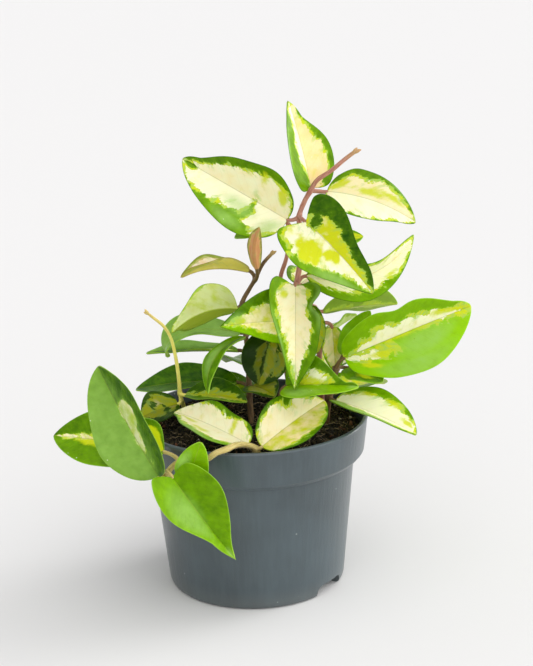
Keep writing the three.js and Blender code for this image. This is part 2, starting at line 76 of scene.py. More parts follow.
# ---- leaves ----
#
# The shape of each leaf: at, the route point that its stalk leaves; base and tip, the ends of its
# midrib; face, the heading and height in degrees of the way its upper side looks; width; widest, how
# far along the widest place is; taper, 1 for a plain pointed end; arch, how many degrees the midrib
# turns downwards, late keeping that turn to the tip; bow, its sideways swing; fold, how many degrees
# a half is lifted, and curl, how many more towards the margin; lobe, how far the base reaches back;
# wave and phase, the waves of the margin; swells, the bulges and hollows of the outline, each with
# its half (-1 or 1), its place along, its reach and its height as a share of the half width.
#
# Its colours: border, the share of a half that the green margin takes at the stations below, from
# base to tip (none: a leaf without a pale middle); green, 0 dark to 1 bright; warm, 0 white to 1
# peach, and wash, how much yellow green tints the pale middle; deep, how far a half is
# darkened with painted shade where it sits in shadow within the plant; fringe, the width of the
# lime edge between pale and green; marks, patches at a share of the length and of the half width,
# with their reach along and across. A pale mark is painted sheen: a grey-green that stands in for
# light reflected by the wax, with some real silvery bloom in it. A few cream marks are painted
# highlights, named at their rows.
#
# fold, lobe, border, green, warm, wash and deep are one value for both halves or a pair,
# with the half against the side direction first.

STATIONS = (0, 0.2, 0.4, 0.6, 0.8, 1)
USUAL = dict(widest=0.42, taper=0.8, arch=20, late=1, bow=0, fold=12, curl=10, lobe=2, wave=0.8,
             phase=0, swells=(), kind="green", border=None, green=0.4, warm=0.4, wash=0, deep=0,
             fringe=0.8, marks=())
LEAVES = {}


def grow(name, at, base, tip, face, width, **more):
    """A leaf that is as usual in all that its row doesn't say."""
    LEAVES[name] = dict(USUAL, at=at, base=base, tip=tip, face=face, width=width, **more)


grow("tall_top", 8, (33, 2, 206), (23, 12, 248), (-66, 5), 31, widest=.34, taper=.95, arch=14, fold=(34, 6),
    lobe=4, kind="cream", swells=((-1, .65, .25, -.1), (1, .75, .2, -.22)), border=((1, .78, .66, .6, .5, .3),
    (.12, .18, .28, .3, .26, .16)), warm=(0, .9), fringe=.7, marks=(("green", .11, .9, .05, .35),
    ("pale", .5, -1, .4, .12)))
grow("tall_left", 6, (21, -2, 191), (-30, 4, 222), (-95, 22), 41, taper=.75, arch=14, fold=(2, 46),
    kind="cream", swells=((-1, .65, .25, -.1), (1, .27, .18, .22), (1, .85, .15, -.18)),
    border=((.1, .1, .56, .4, .16, .04), (.2, .22, .26, .34, .42, .62)), green=(.5, .3), warm=(0, .25),
    fringe=1, marks=(("green", .33, -.42, .035, .3), ("pale", .45, -.8, .18, .22),
    ("lime", .14, .6, .045, .22), ("lime", .34, .68, .03, .16), ("green", .94, 0, .09, .3),
    ("pale", .12, -.6, .12, .4), ("pale", .4, -.35, .2, .3)))
grow("tall_right", 8, (41, -1, 204), (84, -10, 189), (-85, 38), 27, bow=-2.5, kind="cream",
    swells=((-1, .2, .12, .14), (1, .8, .15, -.12)), border=((.4, .28, .28, .2, .3, .25),
    (.3, .05, .06, .08, .08, .12)), green=(.35, .5), warm=(.45, .1), deep=.08, fringe=.9,
    marks=(("lime", .42, -.27, .17, .11), ("lime", .68, -.45, .17, .12), ("lime", .1, -.45, .08, .2),
    ("pale", .75, -1, .25, .14)))
# tall_front: the two small cream marks near the base, at .14 and .27 along, are painted highlights: white
# spots where the wax catches the light.
grow("tall_front", 6, (30, -10, 191), (60, -46, 163), (-80, 30), 39, widest=.27, arch=26, lobe=(4.5, 6.5),
    fold=(42, 2), phase=.5, kind="cream", swells=((-1, .6, .22, -.24), (1, .42, .2, .15)),
    border=((.8, .5, .52, .62, .7, .8), (.22, .2, .22, .4, .55, .5)), green=(.12, .5), warm=(.3, 0),
    wash=(1, .3), fringe=.9, marks=(("wash", .34, .5, .26, .5), ("cream", .14, .62, .07, .16),
    ("cream", .27, .84, .05, .12), ("wash", .5, .2, .14, .3), ("pale", .72, .85, .24, .3),
    ("cream", .72, .1, .26, .14), ("green", .1, -.2, .07, .3)))
grow("tall_shelf", 3, (30, 1, 161), (85, 8, 179), (-90, 35), 29, arch=-6, bow=11, fold=(74, 8), kind="cream",
    swells=((-1, .6, .2, -.3),), border=((.3, .2, .16, .14, .1, .08), (.5, .42, .4, .34, .24, .16)),
    green=(.6, .55), warm=0, fringe=1, marks=(("lime", .66, .5, .06, .1),))
# tall_hanging: the cream mark along the midrib at .85 and the pale mark beside it are a painted highlight on
# the tip.
grow("tall_hanging", 3, (24, -8, 158), (22, -37, 113), (-90, 15), 32, widest=.22, taper=.95, arch=32, fold=20,
    curl=20, lobe=(0, 4), wave=1.5, kind="cream", swells=((-1, .25, .09, -.4), (-1, .72, .2, .16),
    (1, .55, .3, -.15)), border=((.6, .42, .37, .4, .62, 1), (.5, .27, .27, .34, .56, 1)), green=(.35, .5),
    warm=(.35, .25), wash=(.05, .1), deep=(.09, .04), fringe=.9, marks=(("lime", .13, .42, .035, .14),
    ("pale", .25, -.95, .3, .2), ("pale", .5, .95, .3, .15), ("cream", .85, 0, .15, .12),
    ("pale", .84, .2, .14, .4)))
grow("tall_shaded", 4, (33, 8, 175), (60, 17, 177), (-90, 50), 16, arch=10, green=(.35, .4),
    marks=(("lime", .9, 0, .15, .6),))
grow("tall_low", 2, (21, -4, 139), (-14, -28, 144), (-100, 35), 34, widest=.35, taper=1.1, arch=16,
    fold=(12, 42), phase=.3, kind="cream", swells=((-1, .6, .25, -.2),), border=((.3, .34, .42, .55, .8, 1),
    (.3, .38, .44, .45, .7, 1)), green=(.7, .25), warm=(.5, .4), wash=(.4, .5), fringe=1,
    marks=(("pale", .8, .4, .14, .6), ("lime", .72, .1, .03, .12), ("wash", .12, .2, .14, .6)))
grow("tall_rear", 3, (27, 6, 155), (44, 44, 147), (60, 70), 28, arch=40, kind="cream",
    border=((.4, .3, .22, .3, .4, .5), (.5, .3, .3, .22, .3, .4)), green=(.35, .45), warm=(.2, .6), fringe=1)
grow("thin_top", 6, (18, 13, 188), (-6, 18, 178), (-90, 55), 14, green=(.35, .4))
grow("thin_inner", 2, (11, 3, 132), (4, -8, 107), (-90, 0), 26, widest=.5, taper=.7, phase=.2,
    border=((.5, .3, .16, .16, .3, .7), (1, .8, .62, .6, .7, 1)), green=(.1, 0), warm=(.8, .6), wash=(.9, 1),
    deep=(.7, .88), fringe=.7, marks=(("green", .5, -.5, .4, .07), ("green", .5, 0, .5, .1)))
grow("thin_rear_high", 2, (14, 16, 139), (16, 54, 131), (90, 60), 27, arch=30, wave=1.2, kind="cream",
    border=((.5, .25, .3, .3, .3, .4), (.4, .4, .3, .2, .25, .4)), green=(.4, .5), warm=(.3, .7), fringe=1)
grow("thin_rear", 1, (18, 21, 112), (25, 62, 107), (90, 65), 30, arch=25, fold=16, green=(.3, .4),
    marks=(("cream", .35, -.25, .18, .16), ("lime", .5, .3, .2, .18)))
grow("budding_young", 6, (1, 0, 165), (-33, -10, 165), (-95, 86), 15.5, widest=.45, taper=.85, arch=44,
    late=1.5, fold=(47, 22), kind="young", swells=((-1, .6, .25, -.15), (1, .45, .3, .2)),
    border=((.2, .1, .1, .16, .4, .9), (1, .7, .36, .26, .4, .7)), green=(.8, .6), warm=.1, wash=(1, 0),
    fringe=.5, marks=(("green", .28, .5, .1, .5),))
grow("budding_folded", 6, (5, -7, 167.5), (7, -20, 191.5), (85, 5), 10, widest=.4, taper=.9, arch=5, bow=2,
    fold=38, wave=0, kind="young", border=((.4, .34, .3, .3, .45, .8), (.45, .4, .36, .36, .45, .8)), green=0,
    warm=1, fringe=.3)
grow("budding_domed", 4, (-5.6, 3, 145), (-39, -10, 136.7), (95, 25), 34, widest=.45, arch=30, bow=-3.5,
    fold=(8, 17), kind="cream", swells=((-1, .78, .24, -.3), (-1, .45, .25, -.16), (-1, .14, .12, .06),
    (1, .3, .2, -.35), (1, .9, .15, -.25)), border=((.03, .02, .02, .02, .03, .1),
    (.3, .2, .14, .2, .25, .4)), green=.5, warm=(.2, 1), wash=(.3, 1), deep=(0, .3), fringe=.4)
grow("budding_grey", 3, (-5, 21, 126.5), (-41.8, 14.5, 117), (-62, 66), 22, widest=.5, taper=.75, arch=155,
    late=3.3, swells=((-1, .62, .24, -.45),), green=.36, marks=(("pale", .4, 0, 1.4, 3),))
grow("budding_flat", 2, (-6, 21, 117), (-55, 24, 116), (-90, 85), 16, widest=.5, arch=12, green=(.2, .35),
    marks=(("cream", .2, -.5, .16, .3), ("pale", .6, .8, .8, 1.1)))
grow("budding_droop", 3, (-2.2, -2.2, 130.8), (-21, -26, 109), (-125, 35), 10, widest=.45, arch=55, bow=5,
    green=(.25, .3), marks=(("pale", .5, .3, .35, .6),))
grow("budding_rear", 2, (4, 13, 109), (-14, 54, 101), (110, 70), 27, arch=30, green=(.35, .3),
    marks=(("lime", .4, .2, .2, .16), ("cream", .4, .2, .12, .1)))
grow("budding_big", 1, (-7, 16, 101), (-62, 30, 94), (-85, 76), 29, widest=.5, taper=.75, arch=16, green=.12)
grow("budding_olive", 1, (1, -1, 104), (12, -16, 103), (-90, 70), 20, kind="cream",
    border=(.5, .35, .3, .3, .4, .6), green=(.15, .2), warm=.6, wash=1, deep=.7, fringe=1)
grow("budding_rear_low", 1, (-2, 14, 94), (-32, 54, 91), (115, 75), 26, green=(.25, .35),
    marks=(("cream", .55, .25, .16, .14), ("lime", .5, .3, .24, .2)))
grow("bare_fold", 2, (-34, 3, 99), (-2, -11, 99), (-90, 66), 20, widest=.5, fold=25,
    border=((1, .9, .75, .7, .8, 1), (1, .8, .6, .4, .35, .7)), green=(.1, .3), warm=.7, wash=1,
    deep=(.4, .25), fringe=1.2)
grow("bare_low", 2, (-38, 5, 93.5), (-57, -2, 89), (-100, 62), 24, widest=.5, kind="cream",
    border=((.6, .45, .4, .4, .4, .6), (.4, .35, .3, .3, .3, .5)), green=.1, warm=.6, wash=1, deep=(.74, .6),
    marks=(("green", .35, -.3, .08, .3), ("green", .65, .2, .06, .3)))
# trailing_upright: the dark green of its right half is partly the leaf's own tone and partly painted shade of
# the half folded away from the light; the large pale mark on its left half is painted sheen.
grow("trailing_upright", 10, (-45, -57, 78), (-72, -48, 132), (-112, 12), 40, taper=.7, arch=14,
    fold=(10, 36), lobe=0, swells=((-1, .6, .3, -.05), (1, .74, .2, .28)), green=(.48, .12), warm=.3,
    wash=(0, .4), deep=(.08, .02), fringe=.3, marks=(("cream", .57, .28, .12, .36),
    ("cream", .4, .16, .22, .17), ("pale", .45, -.5, 1, 1.2), ("pale", .54, .2, .25, .5)))
grow("trailing_hanging", 10, (-38, -65.5, 80.5), (-9, -81, 44), (-104, 14), 33, widest=.3, taper=1.2,
    lobe=(5, 8), fold=(2, 48), swells=((-1, .4, .2, .12), (-1, .86, .1, -.06), (1, .66, .24, -.26)),
    green=(.42, .62), marks=(("pale", .4, .4, .34, .62), ("pale", .95, 0, .12, .9)))
grow("trailing_left", 8, (-43, -45, 86), (-99, -28, 90), (-90, 45), 33, widest=.48, taper=.82, arch=18,
    swells=((1, .12, .12, .28),), green=(.44, .3), wash=.3, marks=(("cream", .8, .05, .2, .14),
    ("cream", .6, .03, .2, .16), ("lime", .6, -.12, .2, .13), ("lime", .12, .3, .16, .5)))
grow("trailing_over", 8, (-31, -63.5, 77), (-24, -62.5, 97), (-95, 10), 17, widest=.36, taper=.7, arch=10,
    lobe=0, green=(.6, .65), marks=(("pale", .4, -.6, .4, .5),))
grow("trailing_soil_left", 1, (-2, -44, 88), (-39, -12, 95), (-105, 58), 30, fold=(34, 4), kind="cream",
    swells=((-1, .25, .2, .3), (-1, .85, .12, -.12), (1, .35, .2, -.22)),
    border=((.2, .22, .24, .24, .22, .1), (.25, .12, .3, .2, .02, 0)), green=(.5, .3), warm=.2, deep=.1,
    fringe=.9, marks=(("lime", .26, .5, .025, .34), ("lime", .76, -.3, .16, .12),
    ("lime", .48, -.55, .12, .12), ("pale", .5, -1, .5, .2)))
grow("trailing_soil_right", 1, (5, -45, 87), (37, -22, 102), (-100, 35), 31, widest=.46, taper=.75,
    fold=(6, 22), kind="cream", border=((.15, .08, .1, .26, .3, .3), (.1, .13, .15, .14, .2, .3)),
    green=(.2, .3), warm=(.35, .8), wash=(.1, .5), deep=.1, fringe=.7, marks=(("green", .6, -.85, .08, .35),))
grow("right_big", 4, (48, -8, 120), (111, -14, 147), (-85, 28), 42, widest=.46, taper=.65, arch=10,
    fold=(48, 0), swells=((-1, .5, .1, -.2), (-1, .88, .12, -.14), (1, .65, .2, .11), (1, .15, .1, -.06)),
    border=((1, .62, .5, .54, .56, .66), (1.1, 1.1, 1.08, 1, .9, .9)), green=(.68, 1), warm=0, wash=(.05, 0),
    fringe=2.1, marks=(("cream", .15, .26, .17, .2), ("lime", .28, .3, .13, .07), ("lime", .16, .6, .1, .07),
    ("lime", .5, .04, .2, .05), ("lime", .84, -.3, .12, .14), ("pale", .5, .8, .35, .3),
    ("pale", .6, .35, .3, .4)))
grow("right_low", 2, (43, -8, 97), (81, -40, 89), (-80, 50), 30, taper=.75, fold=(4, 42), kind="cream",
    border=((.35, .28, .32, .3, .26, .14), (1, .8, .62, .5, .36, .3)), green=(.5, .55), warm=(0, .1),
    fringe=1.2, marks=(("lime", .3, -.66, .08, .1), ("lime", .6, -.7, .08, .1), ("lime", .86, -.4, .07, .14),
    ("pale", .55, 1, .3, .2)))
grow("right_dark", 4, (50, 0, 112), (67, -13, 108), (-80, 60), 22, green=.3,
    marks=(("lime", .6, .3, .2, .22),))
grow("right_back", 4, (48, 3, 118), (63, 15, 138), (-110, 20), 14, green=.6)
grow("right_rear", 2, (43, 5, 97), (72, 38, 91), (50, 70), 27, kind="cream", border=((.5, .4, .4, .4, .5, .6),
    (.8, .6, .5, .5, .6, .8)), green=.3, warm=.5, wash=1, fringe=1)
# front_fold: the cream mark at .46 on the far half is a painted highlight, white sheen where the wax catches
# the light.
grow("front_fold", 2, (18, -24, 111), (53, -41, 115), (-90, 42), 31, widest=.34, taper=.75, fold=(30, 36),
    lobe=0, swells=((-1, .78, .22, -.4),), green=(.3, .62), warm=(0, .2), wash=(0, .2), fringe=1.4,
    marks=(("cream", .46, -.3, .2, .24), ("lime", .36, -.14, .2, .14), ("pale", .3, .6, .3, .4),
    ("pale", .95, .2, .1, .7)))
grow("middle_rib", 4, (31, 1, 145), (34, -3, 121), (-90, 10), 14, kind="cream",
    border=(.3, .2, .15, .2, .3, .5), green=.3, warm=.8, wash=.8, deep=.35, fringe=1)
grow("middle_yellow", 3, (43, 13, 130), (44, 6, 108), (-90, 10), 13, kind="cream",
    border=(.2, .1, .08, .1, .2, .5), green=(.9, .8), warm=.5, wash=(.7, .3), fringe=.5)
grow("middle_under", 4, (38, 9, 140), (78, 24, 139), (90, 42), 26, widest=.5, border=((1, .8, .7, .7, .8, .9),
    (1, 1, 1, .9, .9, 1)), green=.35, warm=.7, wash=.7, fringe=1.5)
grow("middle_pale", 2, (39, 17, 124), (57, 30, 132), (90, 60), 15, green=.6, border=(.3, .2, .2, .2, .3, .5),
    warm=0, fringe=.4, marks=(("pale", .5, 0, .6, 1),))
grow("middle_rear", 1, (41, 17, 106), (60, 56, 99), (70, 70), 27, arch=25, kind="cream",
    border=((.4, .3, .2, .25, .3, .4), (.4, .2, .25, .3, .3, .5)), green=(.45, .35), warm=(.3, .6), fringe=1)
grow("middle_rear_low", 1, (33, 20, 102), (24, 66, 94), (95, 75), 27, arch=15, green=(.35, .3),
    marks=(("cream", .3, .2, .14, .14), ("lime", .35, .25, .2, .2)))


# ---- meshes ----


def joined(*coordinates):
    """Points put together from their coordinates."""
    return np.stack(np.broadcast_arrays(*coordinates), axis=-1)


def heading_way(heading):
    """The level direction at a heading in radians."""
    return np.array([math.cos(heading), math.sin(heading), 0])


def unit(vectors):
    """Vectors over their own length."""
    return vectors / np.maximum(np.linalg.norm(vectors, axis=-1, keepdims=True), 1e-9)


def skin(grid, start=0):
    """Faces of a grid whose columns close on themselves: a quad between neighbours, and one face of
    many sides over the first and the last row."""
    rows, columns = grid.shape[:2]
    here = start + np.arange(rows * columns).reshape(rows, columns)
    beside = np.roll(here, -1, axis=1)
    quads = np.stack([here[:-1], beside[:-1], beside[1:], here[1:]], axis=-1).reshape(-1, 4)
    return quads.tolist() + [here[0][::-1].tolist(), here[-1].tolist()]


def new_mesh(name, points, faces):
    """A mesh of points given in millimetres."""
    mesh = bpy.data.meshes.new(name)
    mesh.from_pydata((points.reshape(-1, 3) * MM).tolist(), [], faces)
    return mesh


def add_object(name, data):
    """An object of a mesh, a lamp or a camera, in the scene."""
    piece = bpy.data.objects.new(name, data)
    bpy.context.scene.collection.objects.link(piece)
    return piece


def add_piece(name, grids, material, replaces=(), faces=None, values=None, place_uv=None):
    """A mesh in millimetres that rides on the plant: of closed grids or, where faces are given, of
    one small body in each row of the grid, with those faces."""
    points = np.concatenate([grid.reshape(-1, 3) for grid in grids])
    if faces:
        bodies, each = grids[0].shape[:2]
        faces = (each * np.arange(bodies)[:, None, None] + faces).reshape(-1, 3).tolist()
    else:
        starts = np.cumsum([0] + [grid.shape[0] * grid.shape[1] for grid in grids])
        faces = [face for grid, start in zip(grids, starts) for face in skin(grid, start)]
    mesh = new_mesh(name, points, faces)
    for title, value in (values or {}).items():
        field = mesh.attributes.new(title, "FLOAT", "POINT")
        field.data.foreach_set("value", np.ascontiguousarray(value, np.float32).ravel())
    if place_uv is not None:
        corner = np.zeros(len(mesh.loops), np.int32)
        mesh.loops.foreach_get("vertex_index", corner)
        layer = mesh.uv_layers.new(name="surface")
        layer.uv.foreach_set("vector", np.ascontiguousarray(place_uv[corner], np.float32).ravel())
    mesh.shade_smooth()
    mesh.materials.append(material)
    piece = add_object(name, mesh)
    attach(piece, "root")
    if replaces:
        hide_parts(*replaces)
    return piece


def uneven(x, y, seed, size):
    """Smooth unevenness of about -1 to 1: a third of the sum of six sine waves with seeded headings,
    whose wavelengths are around size."""
    draw = np.random.default_rng(seed)
    total = 0
    for _ in range(6):
        heading, shift = draw.uniform(0, TURN, 2)
        wave = TURN / (size * draw.uniform(0.7, 1.8))
        total = total + np.sin(wave * (x * math.cos(heading) + y * math.sin(heading)) + shift)
    return total / 3


# ---- curves ----


def route_line(route, each=10):
    """A centripetal Catmull-Rom line through the points: cubic Hermite stretches whose end slopes
    weigh the neighbouring points by the square root of their distance."""
    p = np.array(route, float)
    p = np.concatenate([[2 * p[0] - p[1]], p, [2 * p[-1] - p[-2]]])
    gap = np.sqrt(np.linalg.norm(np.diff(p, axis=0), axis=1))[:, None]
    d0, d1, d2 = gap[:-2], gap[1:-1], gap[2:]
    a, b, c, d = p[:-3], p[1:-2], p[2:-1], p[3:]
    leave = ((b - a) / d0 - (c - a) / (d0 + d1) + (c - b) / d1) * d1
    reach = ((c - b) / d1 - (d - b) / (d1 + d2) + (d - c) / d2) * d1
    t = (np.arange(each) / each)[None, :, None]
    line = ((2 * t**3 - 3 * t**2 + 1) * b[:, None] + (t**3 - 2 * t**2 + t) * leave[:, None]
            + (3 * t**2 - 2 * t**3) * c[:, None] + (t**3 - t**2) * reach[:, None])
    return np.concatenate([line.reshape(-1, 3), p[-2:-1]])


def lengths(line):
    """Distance along a line of points, in millimetres."""
    return np.concatenate([[0], np.cumsum(np.linalg.norm(np.diff(line, axis=0), axis=1))])


def evenly(line, step):
    """The same line with its points an even step apart."""
    run = lengths(line)
    at = np.linspace(0, run[-1], max(3, int(run[-1] / step) + 1))
    return np.stack([np.interp(at, run, line[:, k]) for k in range(3)], axis=-1)


def frames(line):
    """Two directions square to the line at each station, carried along it without twisting."""
    along = unit(np.gradient(line, axis=0))
    first = np.cross(along[0], (0.3, 1, 0.2))
    across = [first / np.linalg.norm(first)]
    for tangent in along[1:]:
        turned = across[-1] - tangent * np.dot(across[-1], tangent)
        across.append(turned / np.linalg.norm(turned))
    across = np.array(across)
    return across, np.cross(along, across)


def bent(start, bend, end, t):
    """A quadratic curve from start to end that heads for the bend first."""
    return (1 - t) ** 2 * start + 2 * t * (1 - t) * bend + t**2 * end


def tube(line, radius, sides, ridges=0):
    """A round rod: at each station a circle of the radius given there, square to the line. Ridges
    lift it by that share in five long ribs."""
    first, second = frames(line)
    angle = TURN * np.arange(sides) / sides
    reach = np.broadcast_to(radius, len(line))[:, None] * (1 + ridges * np.cos(5 * angle))
    return (line[:, None] + (reach * np.cos(angle))[..., None] * first[:, None]
            + (reach * np.sin(angle))[..., None] * second[:, None])


# ---- leaf surface ----

MIDRIB_STEPS = 200
BLADE_ROWS, HALF_COLUMNS = 76, 15
# In millimetres, but for narrow, the most of its own width that a blade is thick, and lobe_run, the
# share of the length that the base lobes take.
BLADE = dict(middle=1.3, margin=0.8, narrow=0.8, groove=0.14, rib=0.55, base_half=1, tip_half=0.15,
             swell=0.35, swell_size=22, swell_length=55, lobe_run=0.18)
NOWHERE = -9  # a patch's depth in millimetres where there is no such patch


def midrib(leaf, u):
    """Places, tangents and normals along the midrib. Its slope turns downwards by the arch, late
    powers of the share of the length, and the whole is turned and scaled to end on the tip."""
    base = np.array(leaf["base"], float)
    chord = np.array(leaf["tip"], float) - base
    length = np.linalg.norm(chord)
    chord /= length
    heading, rise = np.radians(leaf["face"])
    level = math.cos(rise)
    up = level * heading_way(heading) + math.sin(rise) * np.array((0, 0, 1))
    up = unit(up - chord * up.dot(chord))
    side = np.cross(chord, up)
    s = np.linspace(0, 1, MIDRIB_STEPS + 1)
    slope = -math.radians(leaf["arch"]) * ((s[1:] + s[:-1]) / 2) ** leaf["late"]
    along = np.concatenate([[0], np.cumsum(np.cos(slope))]) / MIDRIB_STEPS
    lift = np.concatenate([[0], np.cumsum(np.sin(slope))]) / MIDRIB_STEPS
    turn = -math.atan2(lift[-1], along[-1])
    scale = length / math.hypot(lift[-1], along[-1])
    forward = scale * (along * math.cos(turn) - lift * math.sin(turn))
    raised = scale * (along * math.sin(turn) + lift * math.cos(turn))
    angle = (turn - math.radians(leaf["arch"]) * u ** leaf["late"])[:, None]
    place = (base + np.interp(u, s, forward)[:, None] * chord + np.interp(u, s, raised)[:, None] * up
             + (leaf["bow"] * 4 * u * (1 - u))[:, None] * side)
    tangent = np.cos(angle) * chord + np.sin(angle) * up
    return place, tangent, np.cos(angle) * up - np.sin(angle) * chord, side


def by_half(v, values):
    """What a leaf's row gives for the half that each point lies in."""
    return np.where(v < 0, *np.broadcast_to(values, 2))


def outline(leaf, u, v):
    """How wide each half is at a share of the length: a rising and a falling power, 1 at the widest
    place, with the swells of that half as bell curves on it."""
    rising = leaf["taper"] * leaf["widest"] / (1 - leaf["widest"])
    plain = (u / leaf["widest"]) ** rising * ((1 - u) / (1 - leaf["widest"])) ** leaf["taper"]
    share = plain + 0 * v
    for half, at, reach, swell in leaf["swells"]:
        bell = np.exp(-(((u - at) / reach) ** 2))
        share = share + (np.sign(v) == half) * swell * np.minimum(1, 2 * plain) * bell
    return share


def blade_middle(leaf, u, v, seed):
    """The blade's middle surface. From the midrib each half rises by its fold and goes on curling
    towards the margin, the margin waves, and the base lobes reach back. A slow unevenness swells it."""
    place, tangent, normal, side = (a if a.ndim == 1 else a[:, None] for a in midrib(leaf, u))
    u = u[:, None]
    share = outline(leaf, u, v)
    least = BLADE["base_half"] + (BLADE["tip_half"] - BLADE["base_half"]) * u**0.3
    half = np.maximum(leaf["width"] / 2 * share, least)
    out = np.abs(v)
    fold = np.radians(by_half(v, leaf["fold"]))
    curl = math.radians(leaf["curl"])
    across = np.sign(v) * (np.sin(fold + curl * out) - np.sin(fold)) / curl
    raised = (np.cos(fold) - np.cos(fold + curl * out)) / curl
    ripple = leaf["wave"] * np.sin(TURN * (1.5 * u + leaf["phase"] + 0.3 * np.sign(v)))
    swell = BLADE["swell"] * uneven(half * v, u * BLADE["swell_length"], seed, BLADE["swell_size"])
    swell = swell * np.minimum(1, 1.5 * out)
    lobe = by_half(v, leaf["lobe"]) * np.exp(-((u / BLADE["lobe_run"]) ** 2))
    back = lobe * out**2 * np.minimum(1, 1.5 * share)
    lift = half * raised + (ripple * out**2 + swell) * np.sin(np.pi * u)
    middle = (place + (half * across)[..., None] * side + lift[..., None] * normal
              - back[..., None] * tangent)
    return middle, half


def colour_fields(leaf, u, v, half, length):
    """What the leaf's colours read at each point. cream and lime are distances in millimetres inside
    the pale middle and the lime patches, negative outside; the others are shares from 0 to 1."""
    out = np.abs(v)
    none = 0 * half
    field = {"cream": none + NOWHERE, "lime": none + NOWHERE, "pale": none}
    if leaf["border"]:
        shares = np.broadcast_to(leaf["border"], (2, len(STATIONS)))
        low, high = (np.interp(u, STATIONS, share) for share in shares)
        field["cream"] = ((1 - out) - np.where(v < 0, low, high)) * half
    for title in ("green", "warm", "wash", "deep"):
        field[title] = by_half(v, leaf[title]) + none
    widest = leaf["width"] / 2
    for kind, at, off, long, wide in leaf["marks"]:
        slant = u - at - 0.3 * (out - abs(off)) * widest / length * (abs(off) > 0.35)
        inside = 1 - np.hypot(slant / long, (v - off) / wide)
        depth = inside * min(long * length, wide * widest)
        if kind in ("cream", "lime"):
            field[kind] = np.maximum(field[kind], depth)
        elif kind == "green":
            field["cream"] = np.minimum(field["cream"], -depth)
        else:
            field[kind] = np.maximum(field[kind], np.clip(1.6 * inside, 0, 1))
    field["fringe"] = leaf["fringe"] + none
    field["edge"] = (1 - out) * half
    return field


def both_sides(upper, lower):
    """The rows of a blade's upper and lower side as rows that run once round it."""
    return np.concatenate([upper, lower[:, -2:0:-1]], axis=1)


def add_leaf(name, leaf, number, finishes):
    """One leaf, a closed lens about its middle surface: thickest at the midrib, round at the margin,
    with a groove along the midrib above and a rib below."""
    u = (1 - np.cos(np.pi * np.arange(BLADE_ROWS + 1) / BLADE_ROWS)) / 2
    s = np.linspace(-1, 1, 2 * HALF_COLUMNS + 1)
    v = (np.sign(s) * np.sin(np.pi / 2 * np.abs(s) ** 1.35))[None]
    middle, half = blade_middle(leaf, u, v, number)
    normal = unit(np.cross(np.gradient(middle, axis=1), np.gradient(middle, axis=0)))
    width = np.linalg.norm(middle[:, -1] - middle[:, 0], axis=1)[:, None]
    out = np.abs(v)
    full = np.minimum(1, BLADE["narrow"] * width / BLADE["middle"])
    thick = full * (BLADE["middle"] + (BLADE["margin"] - BLADE["middle"]) * out) / 2
    thick = thick * np.sqrt(np.clip(1 - out**14, 0, 1))
    near = (half * out) ** 2
    fade = full * np.sqrt(1 - u[:, None] ** 2)
    groove = BLADE["groove"] * fade * np.exp(-near / 0.5)
    rib = BLADE["rib"] * fade * np.exp(-near / 0.7)
    ring = both_sides(middle + (thick - groove)[..., None] * normal,
                      middle - (thick + rib)[..., None] * normal)
    length = np.linalg.norm(np.subtract(leaf["tip"], leaf["base"]))
    field = colour_fields(leaf, u[:, None], v, half, length)
    values = {title: both_sides(value, value) for title, value in field.items()}
    values["under"] = both_sides(0 * half, 0 * half + 1)
    # Each leaf reads the patterns 97 mm on from the leaf before it.
    flat = joined(u[:, None] * length + 97 * number, v * half)
    kind = leaf["kind"]
    add_piece("blade_" + name, [ring], finishes[kind], ["leaf_" + name],
              values=values, place_uv=both_sides(flat, flat).reshape(-1, 2))


# ---- stems and leaf stalks ----

# Shares of the radius, and lengths in millimetres; a stalk's are its radius in millimetres, how much
# thinner its head is, and how much its foot and head swell, over which share of it.
VINE = dict(joint=0.3, joint_reach=1.8, wander=0.04, ribs=0.03, step=0.8, seed=300)
STALK = dict(radius=1.1, thinner=0.2, foot=0.35, foot_run=0.16, head=0.15, head_run=0.12, step=0.6,
             under_blade=0.6, seed=400)


def stalk_line(stem, leaf):
    """A leaf's stalk: a bent line from the vine to the leaf's base, arriving along the midrib, and a
    little way on under the blade."""
    place = midrib(leaf, np.array([0, 0.04]))[0]
    out = unit(place[1] - place[0])
    start = np.array(stem["route"][leaf["at"]], float)
    end = place[0] + STALK["under_blade"] * out
    bend = end - 0.5 * np.linalg.norm(end - start) * out
    return evenly(bent(start, bend, end, np.linspace(0, 1, 60)[:, None]), STALK["step"])


def bud(tip, along, size, spread):
    """A pair of tiny folded leaves at a growing tip: tapered rods, fat a third of the way up, that
    part from each other."""
    side = unit(np.cross(along, (0.2, 1, 0.1)))
    grids = []
    for turn, long in ((-1, 1), (1, 0.75)):
        t = np.linspace(0, 1, 10)[:, None]
        line = tip + size * long * t * along + turn * spread * size * (0.1 + t**1.5) * side
        radius = 0.24 * size * np.sin(np.pi * np.linspace(0.2, 0.97, 10)) ** 0.8
        grids.append(tube(line, radius, 10))
    return grids


def rod_uv(grid):
    """At each point of a rod: the distance along it, and half a millimetre for each side round it."""
    run = lengths(grid.mean(axis=1))[:, None]
    return joined(run, 0.5 * np.arange(grid.shape[1])).reshape(-1, 2)


